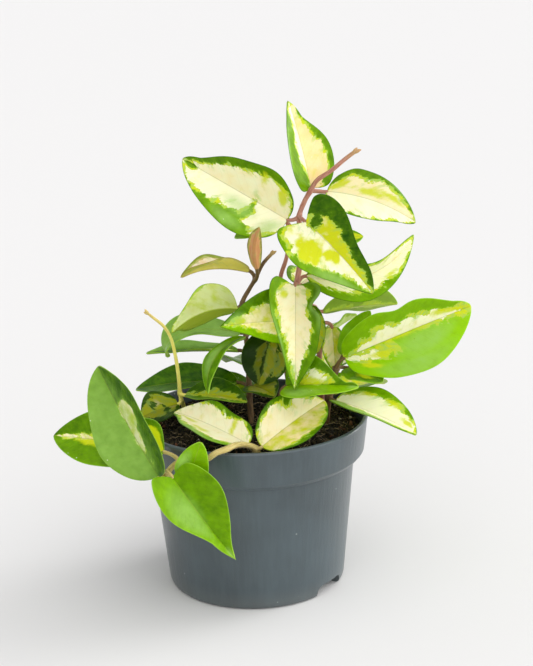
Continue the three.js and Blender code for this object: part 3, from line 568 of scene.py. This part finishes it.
def add_stem(name, stem, number, finish):
    """A vine along its route with all its stalks. It swells at the joints where leaves sit, and its
    thickness wanders a little."""
    leaves = [leaf for title, leaf in LEAVES.items() if title.startswith(name + "_")]
    line = evenly(route_line(stem["route"]), VINE["step"])
    run = lengths(line)
    root, end = stem["radius"]
    radius = root + (end - root) * (run / run[-1])
    for at in sorted({leaf["at"] for leaf in leaves}):
        where = run[np.argmin(np.linalg.norm(line - np.array(stem["route"][at], float), axis=1))]
        radius = radius * (1 + VINE["joint"] * np.exp(-(((run - where) / VINE["joint_reach"]) ** 2)))
    radius = radius * (1 + VINE["wander"] * uneven(run, 0, VINE["seed"] + number, 9))
    grids, growing = [tube(line, radius, 18, VINE["ribs"])], [0 * run]
    if "tip" in stem:
        size, spread, tan = stem["tip"]
        growing = [np.clip(1 - (run[-1] - run) / tan, 0, 1)]
        along = unit(line[-1] - line[-4])
        for leaflet in bud(line[-1] - 1.2 * along * size / 4, along, size, spread):
            grids.append(leaflet)
            growing.append(np.ones(len(leaflet)))
    for count, leaf in enumerate(leaves):
        stalk = stalk_line(stem, leaf)
        t = lengths(stalk) / lengths(stalk)[-1]
        foot = np.exp(-((t / STALK["foot_run"]) ** 2))
        head = np.exp(-(((1 - t) / STALK["head_run"]) ** 2))
        thick = STALK["radius"] - STALK["thinner"] * t + STALK["foot"] * foot + STALK["head"] * head
        wander = uneven(t * 12, 0, STALK["seed"] + 20 * number + count, 5)
        grids.append(tube(stalk, thick * (1 + VINE["wander"] * wander), 12))
        growing.append(np.zeros(len(stalk)))
    ripe = [np.full(grid[..., 0].size, 1.0 if grid is grids[0] else 0.5) for grid in grids]
    growing = [np.repeat(share, grid.shape[1]) for share, grid in zip(growing, grids)]
    add_piece("vine_" + name, grids, finish, ["stem_" + name],
              values={"ripe": np.concatenate(ripe), "growing": np.concatenate(growing)},
              place_uv=np.concatenate([rod_uv(grid) for grid in grids]))
    return line, radius


def add_hairs(name, line, radius, count, size, seed, finish):
    """Short hairs that stand off a vine: three-sided spikes, each at a seeded place and lean."""
    draw = np.random.default_rng(seed)
    first, second = frames(line)
    along = unit(np.gradient(line, axis=0))
    station = draw.integers(0, len(line), count)
    angle = draw.uniform(0, TURN, count)[:, None]
    out = np.cos(angle) * first[station] + np.sin(angle) * second[station]
    round_it = np.cos(angle) * second[station] - np.sin(angle) * first[station]
    foot = line[station] + out * (radius[station] * 0.95)[:, None]
    lean = unit(out + 0.5 * draw.normal(size=(count, 3)))
    tip = foot + lean * (size * draw.uniform(0.5, 1.2, count))[:, None]
    thin = 0.05
    feet = [foot + thin * (math.cos(a) * along[station] + math.sin(a) * round_it) for a in (0, 2.1, 4.2)]
    add_piece(name, [np.stack(feet + [tip], axis=1)], finish,
              faces=[(0, 3, 1), (1, 3, 2), (2, 3, 0), (0, 1, 2)])


# ---- pot ----

POT = dict(height=89, lip=60, band=58.2, band_height=21.5, shoulder=52.6, foot=46.2, wall=1.6,
           disc=26, rise=5, channel=41.5, round=0.7, sides=240)
DRAIN = dict(count=8, radius=4, ring=34)
NOTCH = dict(headings=(-35, 145), width=21, height=6, corner=4)


def pot_profile():
    """Radius and height round the wall's section, from the middle of the underside to the floor, with
    each corner rounded off by a short quadratic curve."""
    shoulder = POT["height"] - POT["band_height"]
    floor = POT["rise"] + POT["wall"]
    lip, band, foot, wall, disc = (POT[key] for key in ("lip", "band", "foot", "wall", "disc"))
    corners = np.array([
        (disc * 0.5, 0), (disc, 0), (disc + 1.5, POT["rise"]), (POT["channel"] - 1, POT["rise"]),
        (POT["channel"], 0), (foot - 2.2, 0), (foot - 0.6, 0.8), (foot, 2.6),
        (POT["shoulder"], shoulder), (band - 2.4, shoulder + 1), (band - 0.4, shoulder + 3.4),
        (lip - 0.3, POT["height"] - 2), (lip, POT["height"] - 0.8), (lip - 0.6, POT["height"]),
        (lip - 2, POT["height"]), (lip - 2.4, POT["height"] - 1.2),
        (band - 0.8 - wall, shoulder + 4.6), (band - 3 - wall, shoulder + 2.2),
        (POT["shoulder"] - wall, shoulder + 0.6), (foot - wall + 0.4, floor + 1.6),
        (foot - wall - 1, floor), (disc + 0.5, floor), (disc - 1, wall), (disc * 0.5, wall)], float)
    before, here, after = corners[:-2], corners[1:-1], corners[2:]
    ends = []
    for there in (before, after):
        room = np.linalg.norm(there - here, axis=1)[:, None]
        ends.append(here + (there - here) * np.minimum(1, POT["round"] / room) * 0.5)
    curve = bent(ends[0][:, None], here[:, None], ends[1][:, None], np.linspace(0, 1, 4)[:, None])
    return np.concatenate([corners[:1], curve.reshape(-1, 2), corners[-1:]])


def turned(profile, sides):
    """A profile of radius and height carried round the Z axis."""
    angle = TURN * np.arange(sides) / sides
    radius, height = profile[:, :1], profile[:, 1:]
    return joined(radius * np.cos(angle), radius * np.sin(angle), height)


def cut_away(pot, grids):
    """Takes the solid that each closed grid encloses out of the pot's mesh."""
    for grid in grids:
        tool = add_object("cutter", new_mesh("cutter", grid, skin(grid)))
        cut = pot.modifiers.new("cut", "BOOLEAN")
        cut.operation, cut.solver, cut.object = "DIFFERENCE", "EXACT", tool
        bpy.context.view_layer.objects.active = pot
        bpy.ops.object.modifier_apply(modifier=cut.name)
        bpy.data.objects.remove(tool)


def make_pot(finish):
    """The lathed wall, with round drain holes through the raised channel and two arched notches
    through the foot ring."""
    wall = turned(pot_profile(), POT["sides"])
    pot = add_piece("nursery_pot", [wall], finish, ["pot"])
    holes = []
    for turn in range(DRAIN["count"]):
        angle = TURN * turn / DRAIN["count"]
        ring = turned(np.array([(DRAIN["radius"], -1), (DRAIN["radius"], 9)], float), 40)
        holes.append(ring + DRAIN["ring"] * heading_way(angle))
    half, top, corner = NOTCH["width"] / 2, NOTCH["height"], NOTCH["corner"]
    bend = np.linspace(0, np.pi / 2, 8)
    right = joined(half - corner + corner * np.cos(bend), top - corner + corner * np.sin(bend))
    left = right[::-1] * (-1, 1)
    arch = np.concatenate([[(half, -1)], right, left, [(-half, -1)]])
    for heading in np.radians(NOTCH["headings"]):
        out, across = heading_way(heading), heading_way(heading + TURN / 4)
        ends = [out * reach + arch[:, :1] * across + arch[:, 1:] * (0, 0, 1)
                for reach in (POT["channel"] - 3, POT["foot"] + 4)]
        holes.append(np.stack(ends))
    cut_away(pot, holes)
    pot.data.shade_smooth()
    pot.data.set_sharp_from_angle(angle=math.radians(38))


# ---- soil ----

SOIL = dict(level=81, crown=1.6, lump=0.8, gap=0.3, scatter=54.6, edge=55, sink=0.2)


def soil_height(x, y):
    """The soil's top: crowned in the middle, with lumps of three sizes."""
    radius, angle = np.hypot(x, y), np.arctan2(y, x)
    broad = SOIL["lump"] * np.sin(radius / 7 + 2 * angle) * np.cos(radius / 5 - 3 * angle)
    fine = 0.5 * uneven(x, y, 71, 7) + 0.32 * uneven(x, y, 72, 3) + 0.2 * uneven(x, y, 73, 1.6)
    return SOIL["level"] + SOIL["crown"] * (1 - (radius / 60) ** 2) + broad + fine


def make_soil(finish):
    """The bed of soil inside the pot: its sides follow the wall, and its top is a fine uneven disc."""
    wall, gap = POT["wall"], SOIL["gap"]
    shoulder = POT["height"] - POT["band_height"]
    floor = POT["rise"] + wall + gap
    edge = POT["band"] - wall - gap
    sides = np.array([
        (POT["disc"] - 1 - gap, wall + gap), (POT["disc"] + 0.5 - gap, floor),
        (POT["foot"] - wall - 1 - gap, floor), (POT["foot"] - wall, floor + 1.6),
        (POT["shoulder"] - wall - gap, shoulder + 0.6), (POT["band"] - 3 - wall - gap, shoulder + 2.6),
        (edge - 0.8, shoulder + 4.8), (edge - 0.4, SOIL["level"] - 1)], float)
    body = turned(sides, 192)
    top = turned(joined(np.linspace(edge - 0.5, 0.6, 100), 0), 192)
    top[..., 2] = soil_height(top[..., 0], top[..., 1])
    add_piece("soil_bed", [np.concatenate([body, top])], finish, ["soil"])


def scattered(draw, count):
    """Seeded places on the soil, kept off the pot's wall."""
    angle = draw.uniform(0, TURN, count)
    radius = SOIL["scatter"] * np.sqrt(draw.uniform(0, 1, count))
    x, y = radius * np.cos(angle), radius * np.sin(angle)
    return joined(x, y, soil_height(x, y))


def turns_of(draw, count):
    """Seeded turns in space: three square directions made from two random ones."""
    first = unit(draw.normal(size=(count, 3)))
    second = unit(np.cross(first, draw.normal(size=(count, 3))))
    return np.stack([first, second, np.cross(first, second)], axis=1)


def add_lumps(name, count, size, shape, seed, finish, rough=0.25):
    """Many small irregular lumps: balls of 20 faces, each with its own size, turn and dents, pressed
    a little into the soil."""
    draw = np.random.default_rng(seed)
    golden = (1 + 5**0.5) / 2
    ball = unit(np.array([(-1, golden, 0), (1, golden, 0), (-1, -golden, 0), (1, -golden, 0),
                          (0, -1, golden), (0, 1, golden), (0, -1, -golden), (0, 1, -golden),
                          (golden, 0, -1), (golden, 0, 1), (-golden, 0, -1), (-golden, 0, 1)], float))
    faces = [(0, 11, 5), (0, 5, 1), (0, 1, 7), (0, 7, 10), (0, 10, 11), (1, 5, 9), (5, 11, 4),
             (11, 10, 2), (10, 7, 6), (7, 1, 8), (3, 9, 4), (3, 4, 2), (3, 2, 6), (3, 6, 8), (3, 8, 9),
             (4, 9, 5), (2, 4, 11), (6, 2, 10), (8, 6, 7), (9, 8, 1)]
    scale = draw.uniform(*size, count)[:, None, None] * np.array(shape) / 2
    dents = 1 + rough * draw.uniform(-1, 1, (count, 12, 1))
    points = np.einsum("nij,njk->nik", ball[None] * dents * scale, turns_of(draw, count))
    at = scattered(draw, count)
    at[:, 2] += (0.5 - SOIL["sink"]) * scale[:, 0].mean(axis=-1)
    points += at[:, None]
    tone = np.repeat(draw.uniform(0, 1, count), 12)
    add_piece(name, [points], finish, faces=faces, values={"tone": tone})


def add_fibres(name, count, size, thin, seed, finish):
    """Peat fibres and rootlets: thin four-sided rods that curve over the soil, half sunk in it."""
    draw = np.random.default_rng(seed)
    heading = draw.uniform(0, TURN, count)[:, None]
    bend = draw.normal(0, 1.1, count)[:, None]
    steps = 8
    t = np.linspace(0, 1, steps)[None]
    long = draw.uniform(*size, count)[:, None]
    start = scattered(draw, count)
    turn = heading + bend * t
    x = start[:, :1] + long / steps * np.cumsum(np.cos(turn), axis=1)
    y = start[:, 1:2] + long / steps * np.cumsum(np.sin(turn), axis=1)
    over = SOIL["edge"] / np.maximum(SOIL["edge"], np.hypot(x, y))
    x, y = x * over, y * over
    z = soil_height(x, y) + draw.uniform(-0.1, 1.4, count)[:, None] * np.sin(np.pi * t) + 0.1
    line, side, up = joined(x, y, z), joined(-np.sin(turn), np.cos(turn), 0), np.array((0, 0, 1))
    radius = (thin * draw.uniform(0.6, 1.5, count)[:, None] * (1.1 - t))[..., None]
    rings = np.stack([line + sign * radius * way for sign in (1, -1) for way in (side, up)], axis=2)
    tone = np.repeat(draw.uniform(0, 1, count), steps * 4)
    add_piece(name, list(rings), finish, values={"tone": tone})


# ---- shader building ----


def srgb(red, green, blue):
    """A colour given in the 0 to 255 steps of a screen, as linear light."""
    share = np.array([red, green, blue]) / 255
    light = np.where(share <= 0.04045, share / 12.92, ((share + 0.055) / 1.055) ** 2.4)
    return (*light.tolist(), 1)


def feed(socket, wire):
    """Joins an input to another node's output or gives it a plain value, with colours in the steps
    of a screen. None leaves it alone."""
    if isinstance(wire, bpy.types.NodeSocket):
        socket.id_data.links.new(wire, socket)
    elif wire is not None:
        socket.default_value = srgb(*wire) if socket.type == "RGBA" else wire


def put(tree, kind, *wires, **settings):
    """A shader node with its settings and what feeds its inputs, in order."""
    node = tree.nodes.new("ShaderNode" + kind)
    for key, value in settings.items():
        setattr(node, key, value)
    for socket, wire in zip(node.inputs, wires):
        feed(socket, wire)
    return node


def calc(operation, *wires, clamp=False):
    """Arithmetic, in the tree of the first output among its inputs."""
    tree = next(wire.id_data for wire in wires if isinstance(wire, bpy.types.NodeSocket))
    return put(tree, "Math", *wires, operation=operation, use_clamp=clamp).outputs[0]


def times(first, second):
    """The product of two values."""
    return calc("MULTIPLY", first, second)


def scaled(value, factor, plus, clamp=False):
    """A value times a factor, plus another value."""
    return calc("MULTIPLY_ADD", value, factor, plus, clamp=clamp)


def swayed(value, *patterns, clamp=False):
    """A value moved by noise: each pattern's distance from one half, times its amount, is added."""
    for pattern, amount in patterns:
        value = scaled(calc("SUBTRACT", pattern, 0.5), amount, value, clamp)
    return value


def smooth(value, low, high):
    """0 below low, 1 above high, and a smooth step between."""
    return put(value.id_data, "MapRange", value, low, high, interpolation_type="SMOOTHSTEP").outputs[0]


def mixed(share, first, second):
    """Two colours mixed by a share of the second."""
    node = put(share.id_data, "Mix", share, data_type="RGBA", clamp_factor=True)
    feed(node.inputs[6], first)
    feed(node.inputs[7], second)
    return node.outputs[2]


def layered(colour, *layers):
    """Tones laid over a colour in turn, each by its mask times its strength."""
    for mask, strength, tone in layers:
        colour = mixed(times(mask, strength), colour, tone)
    return colour


def noise(place, scale, detail, rough=0.5, seed=0.0):
    """A cloudy pattern around one half; the seed gives another one."""
    node = put(place.id_data, "TexNoise", place, seed, scale, detail, rough, noise_dimensions="4D")
    return node.outputs[0]


def spots(place, scale, *kinds):
    """Masks of round spots, at most one to a cell of a Voronoi pattern. A kind is a spot's outer and
    inner radius, and the share of the cells that have none."""
    cells = put(place.id_data, "TexVoronoi", place, None, scale).outputs
    chance = put(place.id_data, "SeparateXYZ", cells["Color"]).outputs
    return [times(smooth(cells["Distance"], outer, inner), calc("GREATER_THAN", chance[k], empty))
            for k, (outer, inner, empty) in enumerate(kinds)]


def attribute(tree, name):
    """A value that the mesh carries at each point."""
    return put(tree, "Attribute", attribute_name=name).outputs["Fac"]


def new_group(name, inputs, outputs):
    """An empty shader node group with the named sockets, and its two end nodes."""
    tree = bpy.data.node_groups.new(name, "ShaderNodeTree")
    for title, kind, value in inputs:
        socket = tree.interface.new_socket(title, in_out="INPUT", socket_type="NodeSocket" + kind)
        socket.default_value = srgb(*value) if kind == "Color" else value
    for title, kind in outputs:
        tree.interface.new_socket(title, in_out="OUTPUT", socket_type="NodeSocket" + kind)
    return tree, tree.nodes.new("NodeGroupInput").outputs, tree.nodes.new("NodeGroupOutput").inputs


def use_group(tree, group, **values):
    """A group placed in a material, with its own values."""
    node = tree.nodes.new("ShaderNodeGroup")
    node.node_tree = group
    for key, value in values.items():
        feed(node.inputs[key.replace("_", " ").capitalize()], value)
    return node.outputs


def make_finish(name, **uniform):
    """A material whose Principled shader has the given uniform values."""
    material = bpy.data.materials.new(name)
    material.use_nodes = True
    for key, value in uniform.items():
        shader_of(material).inputs[key.replace("_", " ")].default_value = value
    return material


def shader_of(material):
    """The material's own Principled shader."""
    return next(node for node in material.node_tree.nodes if node.type == "BSDF_PRINCIPLED")


def wire_up(material, colour, rough, height):
    """Joins a colour, a roughness and a height in millimetres to the material's shader."""
    bump = put(material.node_tree, "Bump", 1.0, MM)
    feed(bump.inputs["Height"], height)
    for title, wire in (("Base Color", colour), ("Roughness", rough), ("Normal", bump.outputs[0])):
        feed(shader_of(material).inputs[title], wire)
    return material


# ---- leaf colours ----


def leaf_pattern_group():
    """The variegation of a wax leaf. Noise drawn out along the side veins, which leave the midrib
    slanting forwards, makes the edge of the pale middle ragged in three sizes. Lime of uneven width
    lies between it and the green, and pale green washes splash over its outer part. Faint lines
    follow the midrib and side veins, and pale dots and brown specks are scattered. The underside is
    a dull tint of the same pattern."""
    tones = {
        "Dark green": (38, 84, 0), "Bright green": (150, 206, 2), "Lime": (212, 220, 22),
        "White cream": (252, 249, 210), "Warm cream": (252, 226, 158), "Yellow wash": (212, 218, 28),
        "Splash": (168, 206, 92), "Painted sheen": (160, 202, 104), "Midrib": (150, 158, 56),
        "Rim": (38, 84, 2), "Underside": (178, 206, 84)}
    tree, given, result = new_group(
        "leaf_pattern", [(title, "Color", tone) for title, tone in tones.items()]
        + [("Underside share", "Float", 0.55), ("Fraying", "Float", 1.0)],
        [("Color", "Color"), ("Roughness", "Float"), ("Height", "Float")])
    cream, lime, green, warm, wash, deep, pale, fringe, edge, under = (
        attribute(tree, name) for name in (
            "cream", "lime", "green", "warm", "wash", "deep", "pale", "fringe", "edge", "under"))
    flat = put(tree, "UVMap", uv_map="surface").outputs[0]
    along, across, _ = put(tree, "SeparateXYZ", flat).outputs
    reach = calc("ABSOLUTE", across)
    vein = scaled(reach, -0.9, along)
    veined = put(tree, "CombineXYZ", vein, times(reach, 0.75),
                 times(calc("SIGN", across), 40.0)).outputs[0]
    broad = noise(veined, 0.15, 2)
    streak = noise(veined, 0.45, 3, 0.6)
    cloud = noise(flat, 0.17, 3, 0.6, 5.0)
    grain = noise(flat, 1.2, 3, 0.65)

    # How far inside the pale middle a point is, and so which of pale, lime and green it shows.
    ragged = swayed(0.0, (grain, 2.0), (streak, 4.5), (broad, 7.0))
    shape = scaled(ragged, given["Fraying"], cream)
    spread = times(fringe, times(smooth(cloud, 0.36, 0.62), 2.6))
    is_cream = smooth(scaled(spread, -0.45, shape), -0.2, 0.3)
    is_fringe = smooth(scaled(spread, 0.55, shape), -0.3, 0.35)
    is_lime = smooth(scaled(ragged, 0.6, lime), -1.0, 1.2)
    outer = times(smooth(shape, 5.5, 0.5), smooth(shape, -0.6, 0.2))
    splashed = times(outer, smooth(noise(veined, 0.22, 3, 0.6, 9.0), 0.52, 0.64))

    tone = swayed(green, (cloud, 0.7), (streak, 0.25))
    tone = scaled(smooth(shape, -2.6, -0.2), 0.16, tone, clamp=True)
    colour = mixed(tone, given["Dark green"], given["Bright green"])
    glow = mixed(smooth(streak, 0.35, 0.65), given["Lime"], given["Splash"])
    colour = mixed(is_fringe, colour, glow)
    blush = swayed(warm, (cloud, 1.1), clamp=True)
    middle = mixed(blush, given["White cream"], given["Warm cream"])
    stained = smooth(scaled(wash, 0.6, calc("ADD", broad, cloud)), 1.1, 1.55)
    middle = mixed(stained, middle, given["Yellow wash"])
    middle = layered(middle, (splashed, 0.6, given["Splash"]))
    colour = mixed(is_cream, colour, middle)
    colour = layered(colour, (is_lime, 0.9, given["Lime"]))
    # Painted sheen: the pale field lays a grey-green over the colour, standing in for light reflected by the
    # wax, with some real silvery bloom in it.
    colour = mixed(times(pale, scaled(cloud, 0.6, 0.2)), colour, given["Painted sheen"])

    ray = smooth(calc("PINGPONG", scaled(broad, 5.0, vein), 2.7), 0.4, 0.0)
    dots, flecks = spots(flat, 0.2, (0.07, 0.04, 0.78), (0.08, 0.04, 0.95))
    # Painted shade: a near black green, (22, 34, 2), is mixed in by the darkening field to stand in for the
    # shadow that falls on inner and lower leaf halves.
    colour = layered(
        colour, (times(ray, broad), 0.12, given["Midrib"]),
        (smooth(reach, 0.5, 0.15), 0.4, given["Midrib"]), (smooth(edge, 0.5, 0.0), 0.55, given["Rim"]),
        (deep, 0.9, (22, 34, 2)), (dots, 0.75, (232, 240, 214)), (flecks, 0.5, (126, 92, 48)))

    beneath = mixed(given["Underside share"], colour, given["Underside"])
    feed(result["Color"], mixed(under, colour, beneath))
    feed(result["Roughness"], scaled(under, 0.2, scaled(grain, 0.2, 0.2)))
    feed(result["Height"], scaled(ray, -0.05, scaled(streak, 0.14, times(grain, 0.07))))
    return tree


def leaf_finish(name, group, **values):
    """A waxy leaf: light passes a little way through it, and a thin clear wax lies on top."""
    material = make_finish(
        name, Specular_IOR_Level=0.09, Coat_Weight=0.06, Coat_Roughness=0.16, Subsurface_Weight=0.22,
        Subsurface_Scale=0.0009, Subsurface_Radius=(0.7, 1.0, 0.25), IOR=1.42)
    out = use_group(material.node_tree, group, **values)
    return wire_up(material, out["Color"], out["Roughness"], out["Height"])


# ---- stem, pot and soil colours ----


def mottle_group():
    """Mottling on Object coordinates: a coarse mask, a fine grain, and a scatter of specks."""
    tree, given, result = new_group("mottle", [
        ("Coarse scale", "Float", 60.0), ("Fine scale", "Float", 900.0), ("Speck scale", "Float", 160.0)],
        [("Coarse", "Float"), ("Fine", "Float"), ("Specks", "Float")])
    place = put(tree, "TexCoord").outputs["Object"]
    coarse = put(tree, "TexNoise", place, None, given["Coarse scale"], 3.0, 0.55).outputs[0]
    feed(result["Coarse"], smooth(coarse, 0.3, 0.7))
    fine = put(tree, "TexNoise", place, None, given["Fine scale"], 2.0, 0.6).outputs[0]
    feed(result["Fine"], fine)
    feed(result["Specks"], spots(place, given["Speck scale"], (0.12, 0.05, 0.9))[0])
    return tree


def pot_finish(mottle):
    """Dark slate plastic: a faint cloudy bloom, fine moulded grain, upright rub marks, specks, and
    dust near the ground."""
    material = make_finish("slate_plastic", IOR=1.5, Coat_Weight=0.3, Coat_Roughness=0.3)
    tree = material.node_tree
    marks = use_group(tree, mottle, coarse_scale=26.0, fine_scale=1600.0, speck_scale=190.0)
    place = put(tree, "TexCoord").outputs["Object"]
    tall = put(tree, "Mapping", place, None, None, (1.0, 1.0, 0.06)).outputs[0]
    rub = smooth(noise(tall, 420.0, 3.0, 0.6), 0.35, 0.75)
    dust = smooth(put(tree, "SeparateXYZ", place).outputs[2], 0.012, 0.0)
    colour = layered(
        mixed(marks["Coarse"], (59, 70, 74), (69, 82, 87)), (rub, 0.12, (100, 118, 124)),
        (marks["Specks"], 0.5, (176, 184, 180)), (dust, 0.25, (120, 122, 116)))
    rough = scaled(rub, 0.08, scaled(marks["Coarse"], 0.08, 0.3))
    return wire_up(material, colour, rough, scaled(rub, 0.06, times(marks["Fine"], 0.12)))


def soil_finish(name, mottle, dark, light):
    """Crumbly matter: two tones by mottling and by each crumb's own tone, rough all over."""
    material = make_finish(name, Specular_IOR_Level=0.25)
    tree = material.node_tree
    marks = use_group(tree, mottle, coarse_scale=240.0, fine_scale=2200.0, speck_scale=500.0)
    tone = scaled(marks["Coarse"], 0.5, times(attribute(tree, "tone"), 0.5))
    rough = scaled(marks["Fine"], 0.2, 0.75)
    return wire_up(material, mixed(tone, dark, light), rough, times(marks["Fine"], 0.5))


def stem_finish(name, mottle, main, light, young):
    """Bark of a green vine: long streaks, pale mottling, a greener tint on the leaf stalks, and tan
    on the growing tip."""
    material = make_finish(
        name, Subsurface_Weight=0.12, Subsurface_Scale=0.0012, Subsurface_Radius=(1.0, 0.5, 0.3), IOR=1.42)
    tree = material.node_tree
    flat = put(tree, "UVMap", uv_map="surface").outputs[0]
    drawn = put(tree, "Mapping", flat, None, None, (0.18, 1.4, 1.0)).outputs[0]
    streak = smooth(noise(drawn, 1.0, 3.0, 0.6), 0.3, 0.72)
    marks = use_group(tree, mottle, coarse_scale=210.0, fine_scale=2600.0, speck_scale=420.0)
    greener = calc("SUBTRACT", 1.0, attribute(tree, "ripe"))
    colour = layered(
        mixed(streak, main, light), (marks["Coarse"], 0.35, main), (greener, 0.6, young),
        (attribute(tree, "growing"), 0.7, (206, 172, 112)), (marks["Specks"], 0.5, (214, 196, 160)))
    height = scaled(streak, 0.12, times(marks["Fine"], 0.08))
    return wire_up(material, colour, scaled(streak, 0.1, 0.45), height)


# ---- the plant ----

pattern = leaf_pattern_group()
mottle = mottle_group()
leaf_finishes = {
    "cream": leaf_finish("cream_leaf_wax", pattern),
    # The green leaves' light margin line is partly a painted rim highlight, where the edge catches the light,
    # and partly the thin margin's own paler green.
    "green": leaf_finish("green_leaf_wax", pattern, rim=(164, 208, 70)),
    "young": leaf_finish(
        "young_leaf_wax", pattern, dark_green=(104, 96, 34), bright_green=(150, 170, 60),
        lime=(196, 176, 96), splash=(176, 186, 110), white_cream=(240, 228, 196),
        warm_cream=(214, 130, 106), yellow_wash=(216, 206, 96), underside=(216, 202, 98),
        underside_share=0.25, midrib=(146, 84, 60), rim=(120, 62, 44), fraying=0.5),
}
barks = {name: stem_finish(name + "_vine", mottle, *tones) for name, tones in {
    "red": ((162, 98, 82), (218, 164, 146), (164, 112, 88)),
    "brown": ((88, 66, 42), (140, 112, 72), (124, 100, 56)),
    "tan": ((184, 162, 90), (226, 210, 138), (188, 170, 100)),
    "straw": ((238, 224, 96), (255, 248, 150), (230, 216, 104))}.items()}

for number, (name, look) in enumerate(LEAVES.items()):
    add_leaf(name, look, number, leaf_finishes)
for number, (name, stem) in enumerate(STEMS.items()):
    line, radius = add_stem(name, stem, number, barks[stem["bark"]])
    if name == "trailing":
        hairs = make_finish("stem_hair", Roughness=0.6, Base_Color=srgb(214, 200, 170))
        add_hairs("hairs_" + name, line, radius, 1500, 0.7, 51, hairs)

make_pot(pot_finish(mottle))
earth, crumb, bark, mineral, straw = (
    soil_finish(name, mottle, dark, light) for name, dark, light in (
        ("peat", (14, 13, 8), (42, 38, 23)), ("peat_crumb", (16, 14, 8), (78, 68, 44)),
        ("bark_chip", (58, 38, 26), (134, 92, 60)), ("perlite", (150, 140, 120), (214, 208, 192)),
        ("peat_fibre", (80, 66, 44), (212, 188, 146))))
make_soil(earth)
add_lumps("soil_crumbs", 3600, (0.7, 2.6), (1, 0.85, 0.7), 61, crumb, rough=0.3)
add_lumps("soil_bark", 70, (2.2, 6), (1, 0.55, 0.3), 62, bark)
add_lumps("soil_perlite", 46, (0.8, 2.2), (1, 0.9, 0.8), 63, mineral)
add_fibres("soil_fibres", 520, (4, 15), 0.15, 64, straw)

# ---- floor, light and camera ----


def stand(piece, axes, place):
    """Puts an object at a place in millimetres, with its three axes along the given directions."""
    rows = [(*row, at * MM) for row, at in zip(np.stack(axes, axis=1), place)]
    piece.matrix_world = Matrix(rows + [(0, 0, 0, 1)])


def make_floor():
    """A wide plain floor, a disc of 12 metres."""
    ring = turned(np.array([(12000.0, 0.0), (1.0, 0.0)]), 96)
    faces = skin(ring)
    mesh = new_mesh("floor", ring, faces[:-2] + faces[-1:])
    mesh.materials.append(make_finish("floor_paint", Roughness=0.9, Base_Color=(0.785, 0.775, 0.764, 1)))
    piece = add_object("floor", mesh)


def add_light(name, back, strength, spread):
    """A wide studio light, even over the whole floor: parallel light from the side that its back is
    on, softened by its spread in degrees."""
    lamp = bpy.data.lights.new(name, "SUN")
    lamp.energy, lamp.angle = strength, math.radians(spread)
    back = unit(np.array(back, float))
    right = unit(np.cross((0, 0, 1), back))
    stand(add_object(name, lamp), [right, np.cross(back, right), back], (0, 0, 2000))


make_floor()
add_light("ceiling", (0.8, -0.8, 0.88), 2.5, 120)
add_light("right_side", (0.88, 0.36, 0.24), 1.4, 30)

world = bpy.data.worlds.new("studio")
bpy.context.scene.world = world
world.use_nodes = True
sky = world.node_tree.nodes["Background"].inputs
sky["Color"].default_value = (0.97, 0.975, 1.0, 1)
sky["Strength"].default_value = 0.58
bpy.context.scene.view_settings.view_transform = "Standard"

# The camera fitted to the photo: its place in millimetres, its turns in radians, and its focal length
# and the photo's long side in pixels.
CAMERA = dict(place=(8.9, -738, 344), pitch=0.2797, roll=-0.0312, focal=1507, long_side=666)
pitch, roll = CAMERA["pitch"], CAMERA["roll"]
ahead = np.array([0, math.cos(pitch), -math.sin(pitch)])
level = np.array([1.0, 0, 0])
above = np.cross(level, ahead)
right = math.cos(roll) * level + math.sin(roll) * above
above = -math.sin(roll) * level + math.cos(roll) * above
view = bpy.data.cameras.new("camera")
view.lens = CAMERA["focal"] * view.sensor_width / CAMERA["long_side"]
view.clip_start, view.clip_end = 0.01, 50
eye = add_object("camera", view)
stand(eye, [right, above, -ahead], CAMERA["place"])
bpy.context.scene.camera = eye
